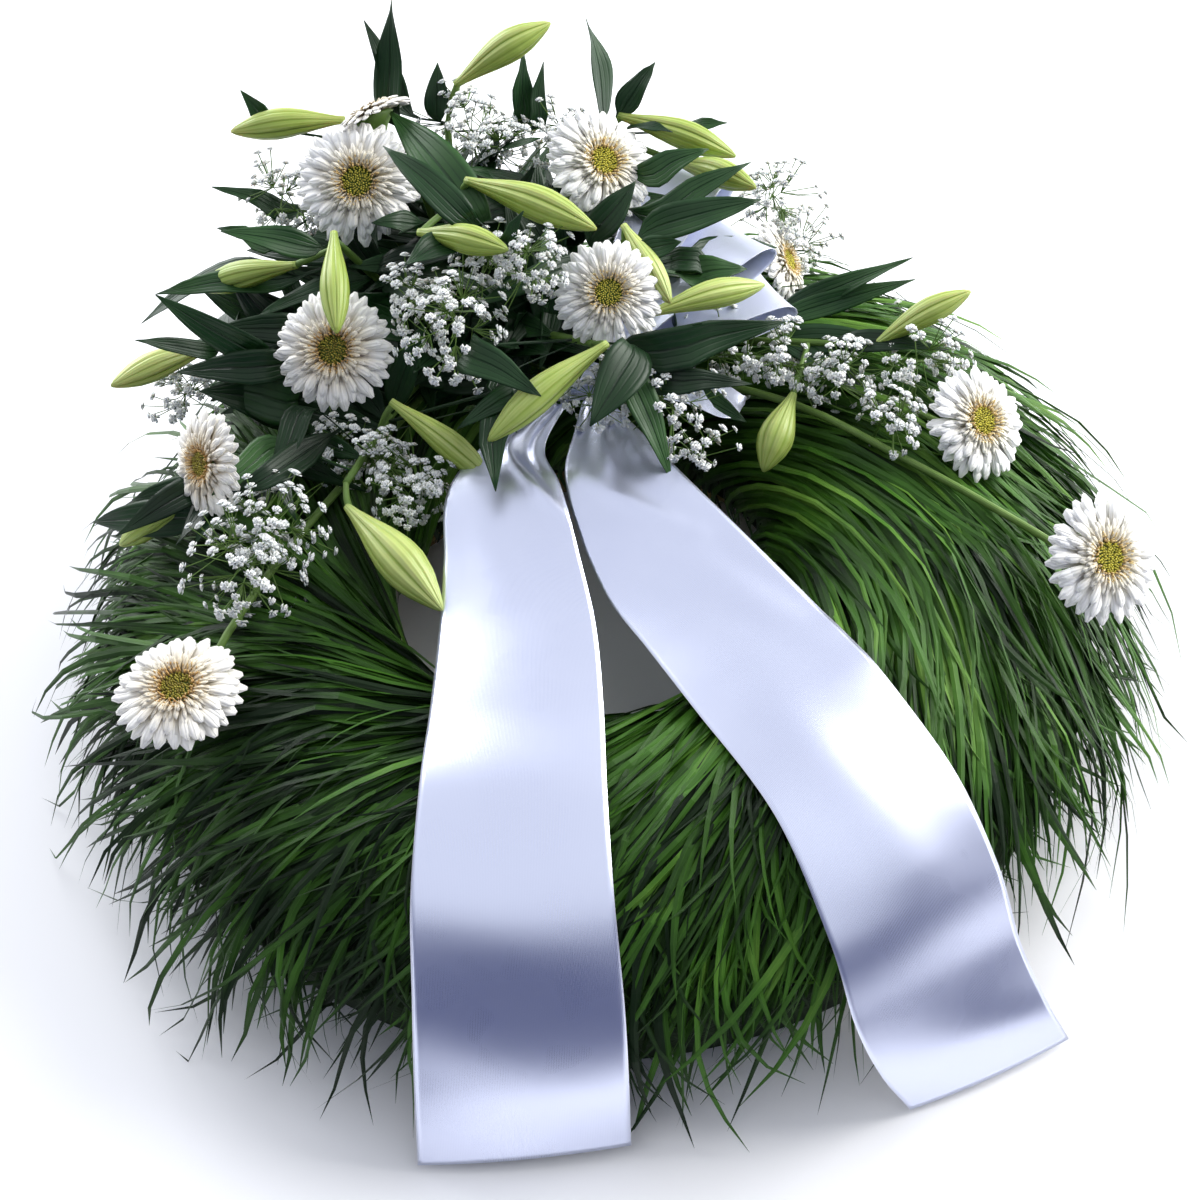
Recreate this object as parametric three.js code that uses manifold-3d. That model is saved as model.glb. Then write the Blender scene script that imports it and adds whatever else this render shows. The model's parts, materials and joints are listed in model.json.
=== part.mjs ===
// A memorial wreath lying flat: meadow grass bound over a straw ring, a spray of gerberas, lilies and
// gypsophila in a foam block on the ring's back left, and a satin bow with two long tails over the front.
// Millimetres, +Z up. The origin is the ring's centre at ground level, and -Y is the front.
import * as THREE from "three";
import { mergeVertices } from "three/addons/utils/BufferGeometryUtils.js";
import Module from "manifold-3d";

const wasm = await Module();
wasm.setup();

// Driving dimensions
const strawRing = { radius: 280, sectionRadius: 78, centreHeight: 62, sides: 32, sectionSteps: 11 };
const wire = { thickness: 1.6, turns: 6, offset: 1.4 };
const bunches = { count: 12, columns: 3, gapAngle: 0.35, clearance: 7, jag: 18 };
const foam = { centre: [-90, 235], length: 220, width: 110, height: 80, corner: 12, turn: 21 };
const tray = { floorHeight: 147.5, wall: 2.5, rim: 22, play: 0.4, lugLength: 16, lugWidth: 10 };
const ribbon = { thickness: 1.4 };
const gap = 0.4; // left between pieces that touch
const stemDepth = 28; // how far a stem is pushed into the foam

// The outside of the grass in section, as radius and height, from the root in the hole to the tips.
const grassOutside = [
  [160, 70],
  [166, 124],
  [192, 172],
  [240, 195],
  [300, 190],
  [350, 165],
  [396, 122],
  [430, 74],
  [450, 12],
];
// How far the grass leans off the radius, clockwise seen from above, in radians at the root's radius.
const grassLean = 0.85;
// The mantle is thicker inside the hole on the right: how much, towards which angle, from which radius.
const thicker = { most: 38, towards: THREE.MathUtils.degToRad(-5), from: 270, fade: 100 };

const colours = {
  straw: 0xb99a55,
  wire: 0x4a5a3a,
  grass: 0x3c7a22,
  tray: 0x2c4a2e,
  foam: 0x2f6b3c,
  ribbon: 0xdfe3f4,
  gerbera: 0xf4f0e4,
  lily: 0x6f8f35,
  gypsophila: 0xeef2ee,
};

// Gerberas: the middle of the head, the way it faces, and the flower's radius.
const viewed = [0, -0.68, 0.73]; // towards someone standing before the wreath
const gerberas = {
  gerbera_back_left: {
    at: [-150, 300, 386],
    faces: [-0.35, 0.6, 0.72],
    radius: 36,
    via: [[-118, 288, 322]],
  },
  gerbera_top_left: { at: [-165, 245, 360], faces: viewed, radius: 52 },
  gerbera_top_right: { at: [35, 260, 345], faces: [0.45, -0.5, 0.74], radius: 50 },
  gerbera_centre: { at: [30, 115, 325], faces: viewed, radius: 45 },
  gerbera_left: { at: [-190, 95, 310], faces: [-0.1, -0.66, 0.73], radius: 49 },
  gerbera_far_left: { at: [-295, 20, 272], faces: [-0.72, -0.5, 0.48], radius: 43 },
  gerbera_ring_right: {
    at: [315, 35, 222],
    faces: [0.5, -0.5, 0.7],
    radius: 48,
    via: [[150, 142, 218], [245, 88, 212]],
  },
  gerbera_ring_far_right: {
    at: [385, -110, 205],
    faces: [0.4, -0.6, 0.7],
    radius: 51,
    via: [[150, 100, 216], [250, 15, 212], [335, -58, 196]],
  },
  gerbera_ring_left: {
    at: [-320, -155, 205],
    faces: [-0.05, -0.15, 0.98],
    radius: 51,
    via: [[-225, 0, 214], [-285, -95, 203]],
  },
  gerbera_back_right: { at: [185, 245, 235], faces: [0.85, -0.2, 0.48], radius: 40 },
};

// Lilies: the stalk's route out of the foam, then buds as base and tip, and leaves as base, tip and width.
const lilies = {
  lily_back: {
    stalk: [[-92, 285, 300], [-90, 325, 355]],
    buds: [[[-80, 335, 385], [5, 360, 420]]],
    leaves: [
      [[-134, 318, 366], [-124, 365, 453], 29],
      [[-124, 331, 366], [-149, 359, 440], 21],
      [[-98, 325, 360], [-93, 354, 396], 20],
      [[-30, 322, 350], [-20, 348, 404], 22],
      [[-20, 310, 352], [-4, 346, 392], 15],
    ],
  },
  lily_back_right: {
    stalk: [[-10, 275, 280], [45, 315, 335]],
    buds: [[[55, 322, 348], [150, 280, 325]], [[100, 290, 318], [160, 222, 334]]],
    leaves: [
      [[42, 328, 345], [35, 362, 420], 34],
      [[58, 325, 350], [90, 342, 384], 22],
      [[105, 308, 336], [146, 305, 342], 16],
      [[70, 251, 335], [126, 262, 348], 26],
      [[69, 205, 328], [158, 238, 348], 24],
      [[65, 300, 350], [98, 285, 352], 14],
    ],
  },
  lily_back_left: {
    stalk: [[-135, 285, 290], [-170, 318, 350]],
    buds: [[[-175, 322, 370], [-270, 312, 376]]],
    leaves: [
      [[-235, 318, 372], [-258, 332, 402], 20],
      [[-225, 280, 310], [-290, 276, 348], 22],
      [[-240, 225, 325], [-285, 232, 338], 20],
    ],
  },
  lily_middle: {
    stalk: [[-84, 220, 300], [-82, 200, 365]],
    buds: [[[-75, 200, 385], [25, 140, 370]], [[-115, 158, 370], [-45, 118, 375]]],
    leaves: [
      [[-65, 170, 362], [-135, 300, 390], 38],
      [[-75, 150, 382], [-137, 218, 412], 27],
      [[-48, 132, 372], [-30, 135, 398], 14],
      [[-88, 152, 366], [-126, 112, 374], 26],
      [[-120, 215, 335], [-155, 200, 352], 20],
    ],
  },
  lily_left: {
    stalk: [[-150, 215, 270], [-185, 190, 345]],
    buds: [[[-182, 165, 372], [-182, 68, 350]], [[-220, 190, 325], [-308, 215, 290]]],
    leaves: [
      [[-200, 170, 355], [-270, 165, 384], 24],
      [[-270, 235, 295], [-360, 200, 272], 24],
      [[-232, 205, 300], [-340, 195, 305], 26],
    ],
  },
  lily_far_left: {
    stalk: [[-235, 190, 245], [-295, 172, 262]],
    buds: [[[-300, 170, 265], [-378, 120, 275]]],
    leaves: [
      [[-250, 108, 300], [-324, 124, 360], 26],
      [[-290, 120, 300], [-342, 95, 340], 16],
      [[-235, 120, 240], [-302, 90, 286], 44],
      [[-228, 95, 262], [-300, 118, 268], 40],
    ],
  },
  lily_front_left: {
    stalk: [[-145, 120, 232], [-190, 10, 246]],
    buds: [[[-190, -10, 240], [-120, -105, 212]], [[-150, 65, 278], [-75, 15, 226]]],
    leaves: [
      [[-215, 70, 275], [-250, 8, 250], 22],
      [[-238, 48, 257], [-292, -6, 262], 28],
      [[-240, 50, 250], [-302, 48, 205], 26],
      [[-48, 52, 292], [-97, 12, 290], 22],
      [[-72, 34, 288], [-72, -28, 258], 26],
    ],
  },
  lily_front: {
    stalk: [[-30, 150, 262], [15, 85, 300]],
    buds: [[[25, 70, 312], [-75, 5, 280]]],
    leaves: [
      [[-85, 70, 320], [-30, 20, 308], 30],
      [[45, 65, 310], [5, 0, 290], 38],
      [[35, 60, 296], [65, -8, 232], 26],
      [[-60, 58, 298], [-52, 10, 282], 18],
    ],
  },
  lily_right: {
    stalk: [[0, 205, 290], [58, 150, 322]],
    buds: [[[62, 118, 298], [158, 150, 290]], [[48, 178, 342], [78, 107, 316]]],
    leaves: [
      [[61, 152, 334], [92, 150, 342], 20],
      [[64, 186, 326], [162, 200, 338], 30],
      [[97, 168, 294], [146, 170, 292], 28],
      [[112, 201, 290], [176, 212, 278], 24],
      [[20, 190, 322], [62, 222, 352], 26],
    ],
  },
  lily_ring_right: {
    stalk: [[90, 165, 228], [240, 122, 240]],
    buds: [[[172, 75, 236], [140, 15, 210]], [[245, 120, 241], [325, 135, 275]]],
    leaves: [
      [[176, 178, 236], [284, 174, 284], 20],
      [[170, 160, 242], [288, 180, 256], 20],
      [[70, 165, 228], [160, 168, 232], 40],
      [[60, 120, 226], [132, 62, 222], 34],
    ],
  },
  lily_low_left: {
    stalk: [[-225, 105, 228], [-305, 32, 232]],
    buds: [[[-315, 20, 233], [-380, 15, 197]]],
    leaves: [[[-312, 10, 226], [-405, 46, 196], 30], [[-300, 40, 228], [-372, 58, 205], 24]],
  },
};

// Gypsophila: each spray's clouds of little flowers, as the middle and the radius.
const gypsophila = {
  gypsophila_back: { clouds: [[-72, 322, 352, 40], [-44, 295, 345, 30], [-4, 308, 342, 30]] },
  gypsophila_back_left: { clouds: [[-232, 270, 330, 34]] },
  gypsophila_middle: {
    clouds: [
      [-94, 98, 324, 44],
      [-130, 128, 325, 30],
      [-26, 132, 348, 34],
      [-58, 150, 340, 28],
    ],
  },
  gypsophila_front_left: { clouds: [[-195, 75, 222, 36], [-135, 20, 228, 38], [-166, 40, 235, 30]] },
  gypsophila_left: { clouds: [[-268, -58, 232, 42], [-248, -30, 246, 36]] },
  gypsophila_knot: {
    fork: [34, 98, 282],
    clouds: [
      [8, 62, 274, 30],
      [68, 55, 252, 36],
      [88, 20, 236, 20],
    ],
  },
  gypsophila_right: {
    fork: [80, 150, 231],
    clouds: [
      [118, 118, 240, 36],
      [168, 110, 240, 36],
      [212, 90, 236, 36],
    ],
  },
  gypsophila_ring_right: { clouds: [[278, 105, 234, 38], [240, 38, 226, 30]] },
  gypsophila_back_right: { clouds: [[188, 292, 268, 34], [190, 280, 222, 40]] },
  gypsophila_far_left: { clouds: [[-330, 150, 232, 30]] },
};

// Ribbon tails: rows across the satin from the knot to the cut end, as the left edge and the right edge.
const tails = {
  ribbon_tail_left: [
    [[-32, 78, 244], [-10, 80, 247]],
    [[-85, 38, 240], [-32, 32, 243]],
    [[-112, -5, 236], [-22, -10, 240]],
    [[-117, -60, 222], [-12, -75, 224]],
    [[-123, -120, 211], [-5, -138, 214]],
    [[-132, -195, 205], [-5, -212, 206]],
    [[-142, -268, 201], [-8, -286, 202]],
    [[-153, -338, 168], [-10, -358, 168]],
    [[-159, -388, 116], [-10, -408, 120]],
    [[-165, -424, 62], [-12, -440, 72]],
    [[-170, -455, 6], [-15, -458, 12]],
  ],
  ribbon_tail_right: [
    [[2, 80, 247], [24, 78, 244]],
    [[-8, 45, 243], [50, 35, 240]],
    [[-18, 5, 238], [80, -15, 236]],
    [[-12, -45, 226], [118, -72, 226]],
    [[5, -105, 212], [160, -132, 212]],
    [[31, -158, 208], [180, -165, 210]],
    [[63, -225, 205], [202, -205, 206]],
    [[108, -313, 192], [242, -274, 174]],
    [[136, -386, 142], [268, -325, 124]],
    [[149, -423, 90], [281, -360, 74]],
    [[166, -442, 48], [297, -389, 38]],
    [[188, -448, 5], [313, -402, 5]],
  ],
};
const knot = { at: [-4, 100, 250], radii: [27, 16, 15], pickThickness: 3 };
// Bow loops: from the knot to the far end of the loop, with the loop's height and the satin's width there.
const loops = {
  bow_loop_back: { end: [118, 292, 308], height: 34, width: 74 },
  bow_loop_middle: { end: [152, 222, 288], height: 32, width: 70 },
  bow_loop_front: { end: [172, 176, 262], height: 28, width: 64 },
};
const bowEnd = [
  [[18, 104, 245], [26, 92, 243]],
  [[70, 112, 240], [80, 78, 236]],
  [[112, 108, 230], [118, 66, 224]],
  [[136, 98, 216], [134, 92, 214]],
];
const pins = { tray_pin_left: -1, tray_pin_right: 1 }; // the side of the tray
const pin = { thickness: 2, span: 14, depth: 45 };

// ---- Geometry ----

const vector = (point) => new THREE.Vector3(...point);

// A manifold solid from a closed three.js geometry.
function solid(geometry) {
  const bare = new THREE.BufferGeometry();
  bare.setAttribute("position", geometry.getAttribute("position"));
  bare.setIndex(geometry.index);
  const merged = mergeVertices(bare, 1e-3);
  const made = new wasm.Manifold(
    new wasm.Mesh({
      numProp: 3,
      vertProperties: new Float32Array(merged.attributes.position.array),
      triVerts: new Uint32Array(merged.index.array),
    }),
  );
  if (made.volume() <= 0) throw new Error("a geometry is inside out or empty");
  return made;
}

function indexed(points, faces) {
  const geometry = new THREE.BufferGeometry();
  const numbers = points.flatMap((point) => point.toArray());
  geometry.setAttribute("position", new THREE.Float32BufferAttribute(numbers, 3));
  geometry.setIndex(faces);
  return solid(geometry);
}

// A skin through rings of points. It is capped with a fan at both ends, or joined end to end.
function loft(rings, joined = false) {
  const size = rings[0].length;
  const faces = [];
  const spans = joined ? rings.length : rings.length - 1;
  for (let i = 0; i < spans; i++) {
    const here = i * size;
    const next = ((i + 1) % rings.length) * size;
    for (let j = 0; j < size; j++) {
      const k = (j + 1) % size;
      faces.push(here + j, here + k, next + k, here + j, next + k, next + j);
    }
  }
  if (!joined) {
    const last = (rings.length - 1) * size;
    for (let j = 1; j + 1 < size; j++) faces.push(0, j + 1, j, last, last + j, last + j + 1);
  }
  return indexed(rings.flat(), faces);
}

// A closed sheet between two grids of points. Columns crossed with rows point out of the first grid.
function sheet(front, back) {
  const rows = front.length;
  const columns = front[0].length;
  const points = [...front.flat(), ...back.flat()];
  const below = rows * columns;
  const faces = [];
  const quad = (a, b, c, d) => faces.push(a, b, c, a, c, d);
  for (let i = 0; i + 1 < rows; i++)
    for (let j = 0; j + 1 < columns; j++) {
      const a = i * columns + j;
      quad(a, a + 1, a + 1 + columns, a + columns);
      quad(below + a, below + a + columns, below + a + 1 + columns, below + a + 1);
    }
  for (let i = 0; i + 1 < rows; i++) {
    const left = i * columns;
    const right = left + columns - 1;
    quad(left, left + columns, below + left + columns, below + left);
    quad(right + columns, right, below + right, below + right + columns);
  }
  for (let j = 0; j + 1 < columns; j++) {
    const last = (rows - 1) * columns + j;
    quad(j + 1, j, below + j, below + j + 1);
    quad(last, last + 1, below + last + 1, below + last);
  }
  return indexed(points, faces);
}

// Rings of a round section along a curve. radiusAt gives the radius at a share of the length.
function ringsAlong(curve, steps, sides, radiusAt) {
  const frames = curve.computeFrenetFrames(steps, false);
  return Array.from({ length: steps + 1 }, (_, i) => {
    const centre = curve.getPointAt(i / steps);
    const radius = radiusAt(i / steps);
    return Array.from({ length: sides }, (_, j) => {
      const angle = (2 * Math.PI * j) / sides;
      return centre
        .clone()
        .addScaledVector(frames.normals[i], radius * Math.cos(angle))
        .addScaledVector(frames.binormals[i], radius * Math.sin(angle));
    });
  });
}

// A skin through round sections that all face from the first centre to the last one.
function spindle(centres, radii, sides, grow) {
  const axis = centres.at(-1).clone().sub(centres[0]).normalize();
  const side = vector(Math.abs(axis.z) > 0.8 ? [1, 0, 0] : [0, 0, 1]).cross(axis).normalize();
  const up = new THREE.Vector3().crossVectors(axis, side);
  const rings = centres.map((centre, i) =>
    Array.from({ length: sides }, (_, j) => {
      const angle = (2 * Math.PI * j) / sides;
      return centre
        .clone()
        .addScaledVector(side, (radii[i] + grow) * Math.cos(angle))
        .addScaledVector(up, (radii[i] + grow) * Math.sin(angle));
    }),
  );
  return loft(rings);
}

function tube(points, radius, steps = 4, sides = 5) {
  return loft(ringsAlong(new THREE.CatmullRomCurve3(points), steps, sides, () => radius));
}

// ---- The ring ----

// Angles round the straw's section, from the outer edge of its flat underside over the top to the inner edge.
function strawAngles() {
  const start = -Math.asin(strawRing.centreHeight / strawRing.sectionRadius);
  const sweep = Math.PI - 2 * start;
  const steps = strawRing.sectionSteps;
  return Array.from({ length: steps + 1 }, (_, i) => start + (sweep * i) / steps);
}

// A point of the section pushed out by some distance, as radius and height. It never goes below the lowest.
function onStraw(angle, out, lowest) {
  const reach = strawRing.sectionRadius + out;
  const height = strawRing.centreHeight + reach * Math.sin(angle);
  return [strawRing.radius + reach * Math.cos(angle), Math.max(lowest, height)];
}

function makeStrawRing() {
  const outline = strawAngles().map((angle) => new THREE.Vector2(...onStraw(angle, 0, 0)));
  outline.push(outline[0].clone());
  const lathe = new THREE.LatheGeometry(outline, strawRing.sides);
  return solid(lathe.rotateX(Math.PI / 2));
}

// The binding wire winds round the straw and joins its own start. Underneath it bites into the straw.
function makeWire(grow) {
  const angles = strawAngles();
  const count = wire.turns * angles.length;
  const thick = wire.thickness / 2 + grow;
  const rings = Array.from({ length: count }, (_, i) => {
    const angle = angles[i % angles.length];
    const turn = (2 * Math.PI * i) / count;
    const around = new THREE.Vector3(Math.cos(turn), Math.sin(turn), 0);
    const along = new THREE.Vector3(-Math.sin(turn), Math.cos(turn), 0);
    const outward = around.clone().multiplyScalar(Math.cos(angle)).setZ(Math.sin(angle));
    const [radial, height] = onStraw(angle, wire.offset, wire.thickness);
    const centre = around.multiplyScalar(radial).setZ(height);
    return [0, 1, 2].map((j) => {
      const corner = (2 * Math.PI * j) / 3;
      const point = centre.clone().addScaledVector(outward, thick * Math.cos(corner));
      return point.addScaledVector(along, thick * Math.sin(corner));
    });
  });
  return loft(rings, true);
}

// ---- The grass ----

function grassPoint([radial, height], angle, inset) {
  const leaned = angle - grassLean * Math.log(radial / grassOutside[0][0]);
  const beside = Math.max(0, Math.cos(leaned - thicker.towards)) ** 2;
  const share = THREE.MathUtils.clamp((thicker.from - radial) / thicker.fade, 0, 1);
  const reach = radial - inset * beside * share;
  return new THREE.Vector3(reach * Math.cos(leaned), reach * Math.sin(leaned), height);
}

// The inside of the mantle wraps the straw and then runs out to the tips.
function grassInside() {
  const wrap = 6;
  const reach = strawRing.sectionRadius + bunches.clearance;
  const points = Array.from({ length: wrap + 1 }, (_, i) => {
    const angle = Math.PI * (1 - i / wrap);
    return [strawRing.radius + reach * Math.cos(angle), strawRing.centreHeight + reach * Math.sin(angle)];
  });
  return [...points, [378, 34], [402, 4]];
}

// A bunch covers its share of the ring, and every second column of its tips runs out further.
function makeBunch(index) {
  const share = 360 / bunches.count;
  const start = index * share + bunches.gapAngle;
  const span = share - 2 * bunches.gapAngle;
  const inside = grassInside();
  const grid = (profile, inset) =>
    profile.map(([radial, height], row) =>
      Array.from({ length: bunches.columns + 1 }, (_, column) => {
        const jag = row === profile.length - 1 && column % 2 ? bunches.jag : 0;
        const angle = THREE.MathUtils.degToRad(start + span - (span * column) / bunches.columns);
        return grassPoint([radial + jag, height], angle, inset);
      }),
    );
  return sheet(grid(grassOutside, thicker.most), grid(inside, 0));
}

// ---- The foam and its tray ----

function roundedBlock(length, width, height, corner) {
  const shape = new THREE.Shape();
  const x = length / 2;
  const y = width / 2;
  shape.moveTo(corner - x, -y);
  shape.lineTo(x - corner, -y);
  shape.absarc(x - corner, corner - y, corner, -Math.PI / 2, 0);
  shape.lineTo(x, y - corner);
  shape.absarc(x - corner, y - corner, corner, 0, Math.PI / 2);
  shape.lineTo(corner - x, y);
  shape.absarc(corner - x, y - corner, corner, Math.PI / 2, Math.PI);
  shape.lineTo(-x, corner - y);
  shape.absarc(corner - x, corner - y, corner, Math.PI, 1.5 * Math.PI);
  return new THREE.ExtrudeGeometry(shape, { depth: height, bevelEnabled: false, curveSegments: 3 });
}

function onFoam(geometry, height) {
  geometry.rotateZ(THREE.MathUtils.degToRad(foam.turn));
  return solid(geometry.translate(...foam.centre, height));
}

const foamFloor = tray.floorHeight + tray.wall + tray.play;
const foamMiddle = new THREE.Vector3(...foam.centre, foamFloor + foam.height / 2);

// The tray's two lugs stick out at its ends, and a pin straddles each.
function makeLug(side, extra) {
  const size = [tray.lugLength + extra, tray.lugWidth + 2 * extra, tray.wall + 2 * extra];
  const middle = foam.length / 2 + tray.play + tray.wall + tray.lugLength / 2 - 1;
  return onFoam(new THREE.BoxGeometry(...size).translate(side * middle, 0, tray.wall / 2), tray.floorHeight);
}

function makeTray() {
  const extra = tray.play + tray.wall;
  const size = [foam.length + 2 * extra, foam.width + 2 * extra];
  const outer = onFoam(roundedBlock(...size, tray.wall + tray.rim, foam.corner + extra), tray.floorHeight);
  const room = [foam.length + 2 * tray.play, foam.width + 2 * tray.play];
  const inner = roundedBlock(...room, tray.rim + 10, foam.corner);
  const shell = outer.subtract(onFoam(inner, tray.floorHeight + tray.wall));
  return shell.add(makeLug(-1, 0)).add(makeLug(1, 0));
}

// The room that the tray and the foam take out of the grass.
function trayRoom() {
  const extra = 2 * (tray.play + tray.wall + gap);
  const block = roundedBlock(foam.length + extra, foam.width + extra, foam.height, foam.corner + extra / 2);
  return onFoam(block, tray.floorHeight - gap).add(makeLug(-1, gap)).add(makeLug(1, gap));
}

function makeFoam() {
  return onFoam(roundedBlock(foam.length, foam.width, foam.height, foam.corner), foamFloor);
}

// Where a stem ends inside the foam: on the line from the foam's middle to where the stem comes from.
function footOf(point) {
  const turn = -THREE.MathUtils.degToRad(foam.turn);
  const turned = point.clone().sub(foamMiddle).applyAxisAngle(vector([0, 0, 1]), turn);
  const reach = Math.max(
    Math.abs(turned.x) / (foam.length / 2),
    Math.abs(turned.y) / (foam.width / 2),
    Math.abs(turned.z) / (foam.height / 2),
  );
  const distance = point.distanceTo(foamMiddle) / reach - stemDepth;
  return foamMiddle.clone().lerp(point, Math.max(0.04, distance / point.distanceTo(foamMiddle)));
}

// ---- Flowers ----

// A flower's stem leaves the head along its back and bends into the foam, over the places listed in via.
function stemRoute(at, faces, via) {
  const neck = at.clone().addScaledVector(faces, -8);
  if (via) return [footOf(vector(via[0])), ...via.map(vector), at.clone().addScaledVector(faces, -26), neck];
  const behind = at.clone().addScaledVector(faces, -0.22 * at.distanceTo(foamMiddle));
  const foot = footOf(behind);
  return [foot, foot.clone().lerp(behind, 0.5), behind, neck];
}

function makeGerbera({ at, faces, radius, via }, grow) {
  const centre = vector(at);
  const axis = vector(faces).normalize();
  const side = new THREE.Vector3(1, 0, 0).addScaledVector(axis, -axis.x).normalize();
  const up = new THREE.Vector3().crossVectors(axis, side);
  const petals = 12;
  const outline = [
    [4 + grow, -20 - grow],
    [13 + grow, -10 - grow],
    [radius + grow, -2 - grow],
    [radius + grow, 2 + grow],
    [14 + grow, 5 + grow],
    [9 + grow, 8 + grow],
  ];
  const rings = outline.map(([reach, lift]) =>
    Array.from({ length: petals }, (_, j) => {
      const angle = (2 * Math.PI * j) / petals;
      const notch = reach > radius / 2 && j % 2 ? 0.9 : 1;
      return centre
        .clone()
        .addScaledVector(side, reach * notch * Math.cos(angle))
        .addScaledVector(up, reach * notch * Math.sin(angle))
        .addScaledVector(axis, lift);
    }),
  );
  return loft(rings).add(tube(stemRoute(centre, axis, via), 3 + grow, via ? 6 : 4));
}

// A bud on its short stalk: the root is inside the lily's stalk, and the bud swells from its base to its tip.
function makeBud(root, base, tip, grow) {
  const swell = [4, 9.5, 13, 12.5, 8.5, 2.5];
  const centres = swell.map((_, i) => base.clone().lerp(tip, i / (swell.length - 1)));
  return spindle([root, ...centres], [2.4, ...swell], 5, grow);
}

// A leaf is a long lozenge in section, folded along its midrib, and it arches away from the foam.
function makeLeaf(root, base, tip, width, grow) {
  const shares = [0.12, 0.8, 1, 0.06];
  const outward = base.clone().lerp(tip, 0.5).sub(foamMiddle).normalize().setZ(1.1).normalize();
  const bend = base.clone().lerp(tip, 0.45).addScaledVector(outward, 0.06 * base.distanceTo(tip));
  const curve = new THREE.CatmullRomCurve3([root, base, bend, tip]);
  const across = tip.clone().sub(base).cross(outward).normalize();
  const steps = shares.length;
  const rings = Array.from({ length: steps }, (_, i) => {
    const share = i / (steps - 1);
    const centre = curve.getPointAt(share);
    const lift = across.clone().cross(curve.getTangentAt(share)).normalize();
    const half = (width / 2) * shares[i] + grow;
    const fold = 0.22 * half;
    return [
      centre.clone().addScaledVector(across, -half).addScaledVector(lift, fold),
      centre.clone().addScaledVector(lift, 0.9 + grow),
      centre.clone().addScaledVector(across, half).addScaledVector(lift, fold),
      centre.clone().addScaledVector(lift, -0.9 - grow),
    ];
  });
  return loft(rings);
}

function makeLily({ stalk, buds, leaves }, grow) {
  const route = stalk.map(vector);
  const path = [footOf(route[0]), ...route];
  const curve = new THREE.CatmullRomCurve3(path);
  const samples = curve.getSpacedPoints(24).slice(6);
  const nearest = (point) =>
    samples.reduce((best, p) => (p.distanceTo(point) < best.distanceTo(point) ? p : best)).clone();
  let made = tube(path, 3.6 + grow, 4, 5);
  for (const [base, tip] of buds) {
    const start = vector(base);
    made = made.add(makeBud(nearest(start), start, vector(tip), grow));
  }
  for (const [base, tip, width] of leaves) {
    const start = vector(base);
    made = made.add(makeLeaf(nearest(start), start, vector(tip), width, grow));
  }
  return made;
}

// A spray is a stem that forks to its clouds. Twigs leave each branch in turn, each with a flower at its end.
function makeGypsophila({ clouds, fork: forkAt }, grow) {
  const twigs = 4;
  const middle = clouds.reduce((sum, [x, y, z]) => sum.add(vector([x, y, z])), new THREE.Vector3());
  const fork = forkAt ? vector(forkAt) : middle.divideScalar(clouds.length).lerp(foamMiddle, 0.3);
  let made = spindle([footOf(fork), fork], [1.8, 1.6], 4, grow);
  for (const [x, y, z, radius] of clouds) {
    const centre = vector([x, y, z]);
    const start = fork.clone().lerp(foamMiddle, 0.03);
    made = made.add(spindle([start, centre], [1.3, 1.2], 3, grow));
    for (let i = 0; i < twigs; i++) {
      const height = 1 - (1.6 * (i + 0.5)) / twigs;
      const angle = 2.4 * i;
      const spread = Math.sqrt(1 - height * height);
      const away = new THREE.Vector3(spread * Math.cos(angle), spread * Math.sin(angle), height);
      const root = centre.clone().lerp(start, 0.08 * (twigs - i));
      const end = centre.clone().addScaledVector(away, radius);
      const line = end.clone().sub(root).normalize();
      const neck = end.clone().addScaledVector(line, -9);
      const flower = end.clone().addScaledVector(line, -4);
      made = made.add(spindle([root, neck, flower, end], [0.8, 0.8, 5, 1.5], 3, grow));
    }
  }
  return made;
}

// ---- The bow ----

// Satin through rows of left and right edge points, with a middle column bowed a little upwards.
function makeSatin(rows, grow, bow = 0.03) {
  const lines = rows.map(([left, right]) => {
    const ends = [vector(left), vector(right)];
    return [ends[0], ends[0].clone().lerp(ends[1], 0.5), ends[1]];
  });
  const thick = ribbon.thickness / 2 + grow;
  const normals = lines.map((line, i) => {
    const before = lines[Math.max(0, i - 1)][1];
    const after = lines[Math.min(lines.length - 1, i + 1)][1];
    const forward = after.clone().sub(before).normalize();
    const across = line[2].clone().sub(line[0]).normalize();
    return new THREE.Vector3().crossVectors(across, forward).normalize();
  });
  const reach = (line, j) => (j - 1) * grow * 1.5;
  const grid = (side) =>
    lines.map((line, i) => {
      const across = line[2].clone().sub(line[0]);
      const width = across.length();
      across.divideScalar(width);
      return line.map((point, j) => {
        const lift = side * thick - (j === 1 ? bow * width : 0);
        return point.clone().addScaledVector(across, reach(line, j)).addScaledVector(normals[i], lift);
      });
    });
  return sheet(grid(1), grid(-1));
}

// A bow loop runs out from the knot along its upper side and comes back along its lower side.
function loopRows({ end, height, width }) {
  const start = vector(knot.at).lerp(vector(end), 0.2);
  const length = vector(end).sub(start);
  const across = new THREE.Vector3(length.y, -length.x, 0).normalize();
  const up = new THREE.Vector3().crossVectors(across, length).normalize();
  const steps = 10;
  return Array.from({ length: steps + 1 }, (_, i) => {
    const angle = Math.PI * (1 - (2 * i) / steps);
    const reach = (1 + Math.cos(angle)) / 2;
    const rise = Math.sin(angle) * (0.25 + 0.75 * reach) * (height / 2) + (i < steps / 2 ? 1.6 : -1.6);
    const centre = start.clone().addScaledVector(length, reach).addScaledVector(up, rise);
    const half = (width / 2) * (0.22 + 0.78 * Math.sqrt(reach));
    return [
      centre.clone().addScaledVector(across, -half).toArray(),
      centre.clone().addScaledVector(across, half).toArray(),
    ];
  });
}

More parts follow.
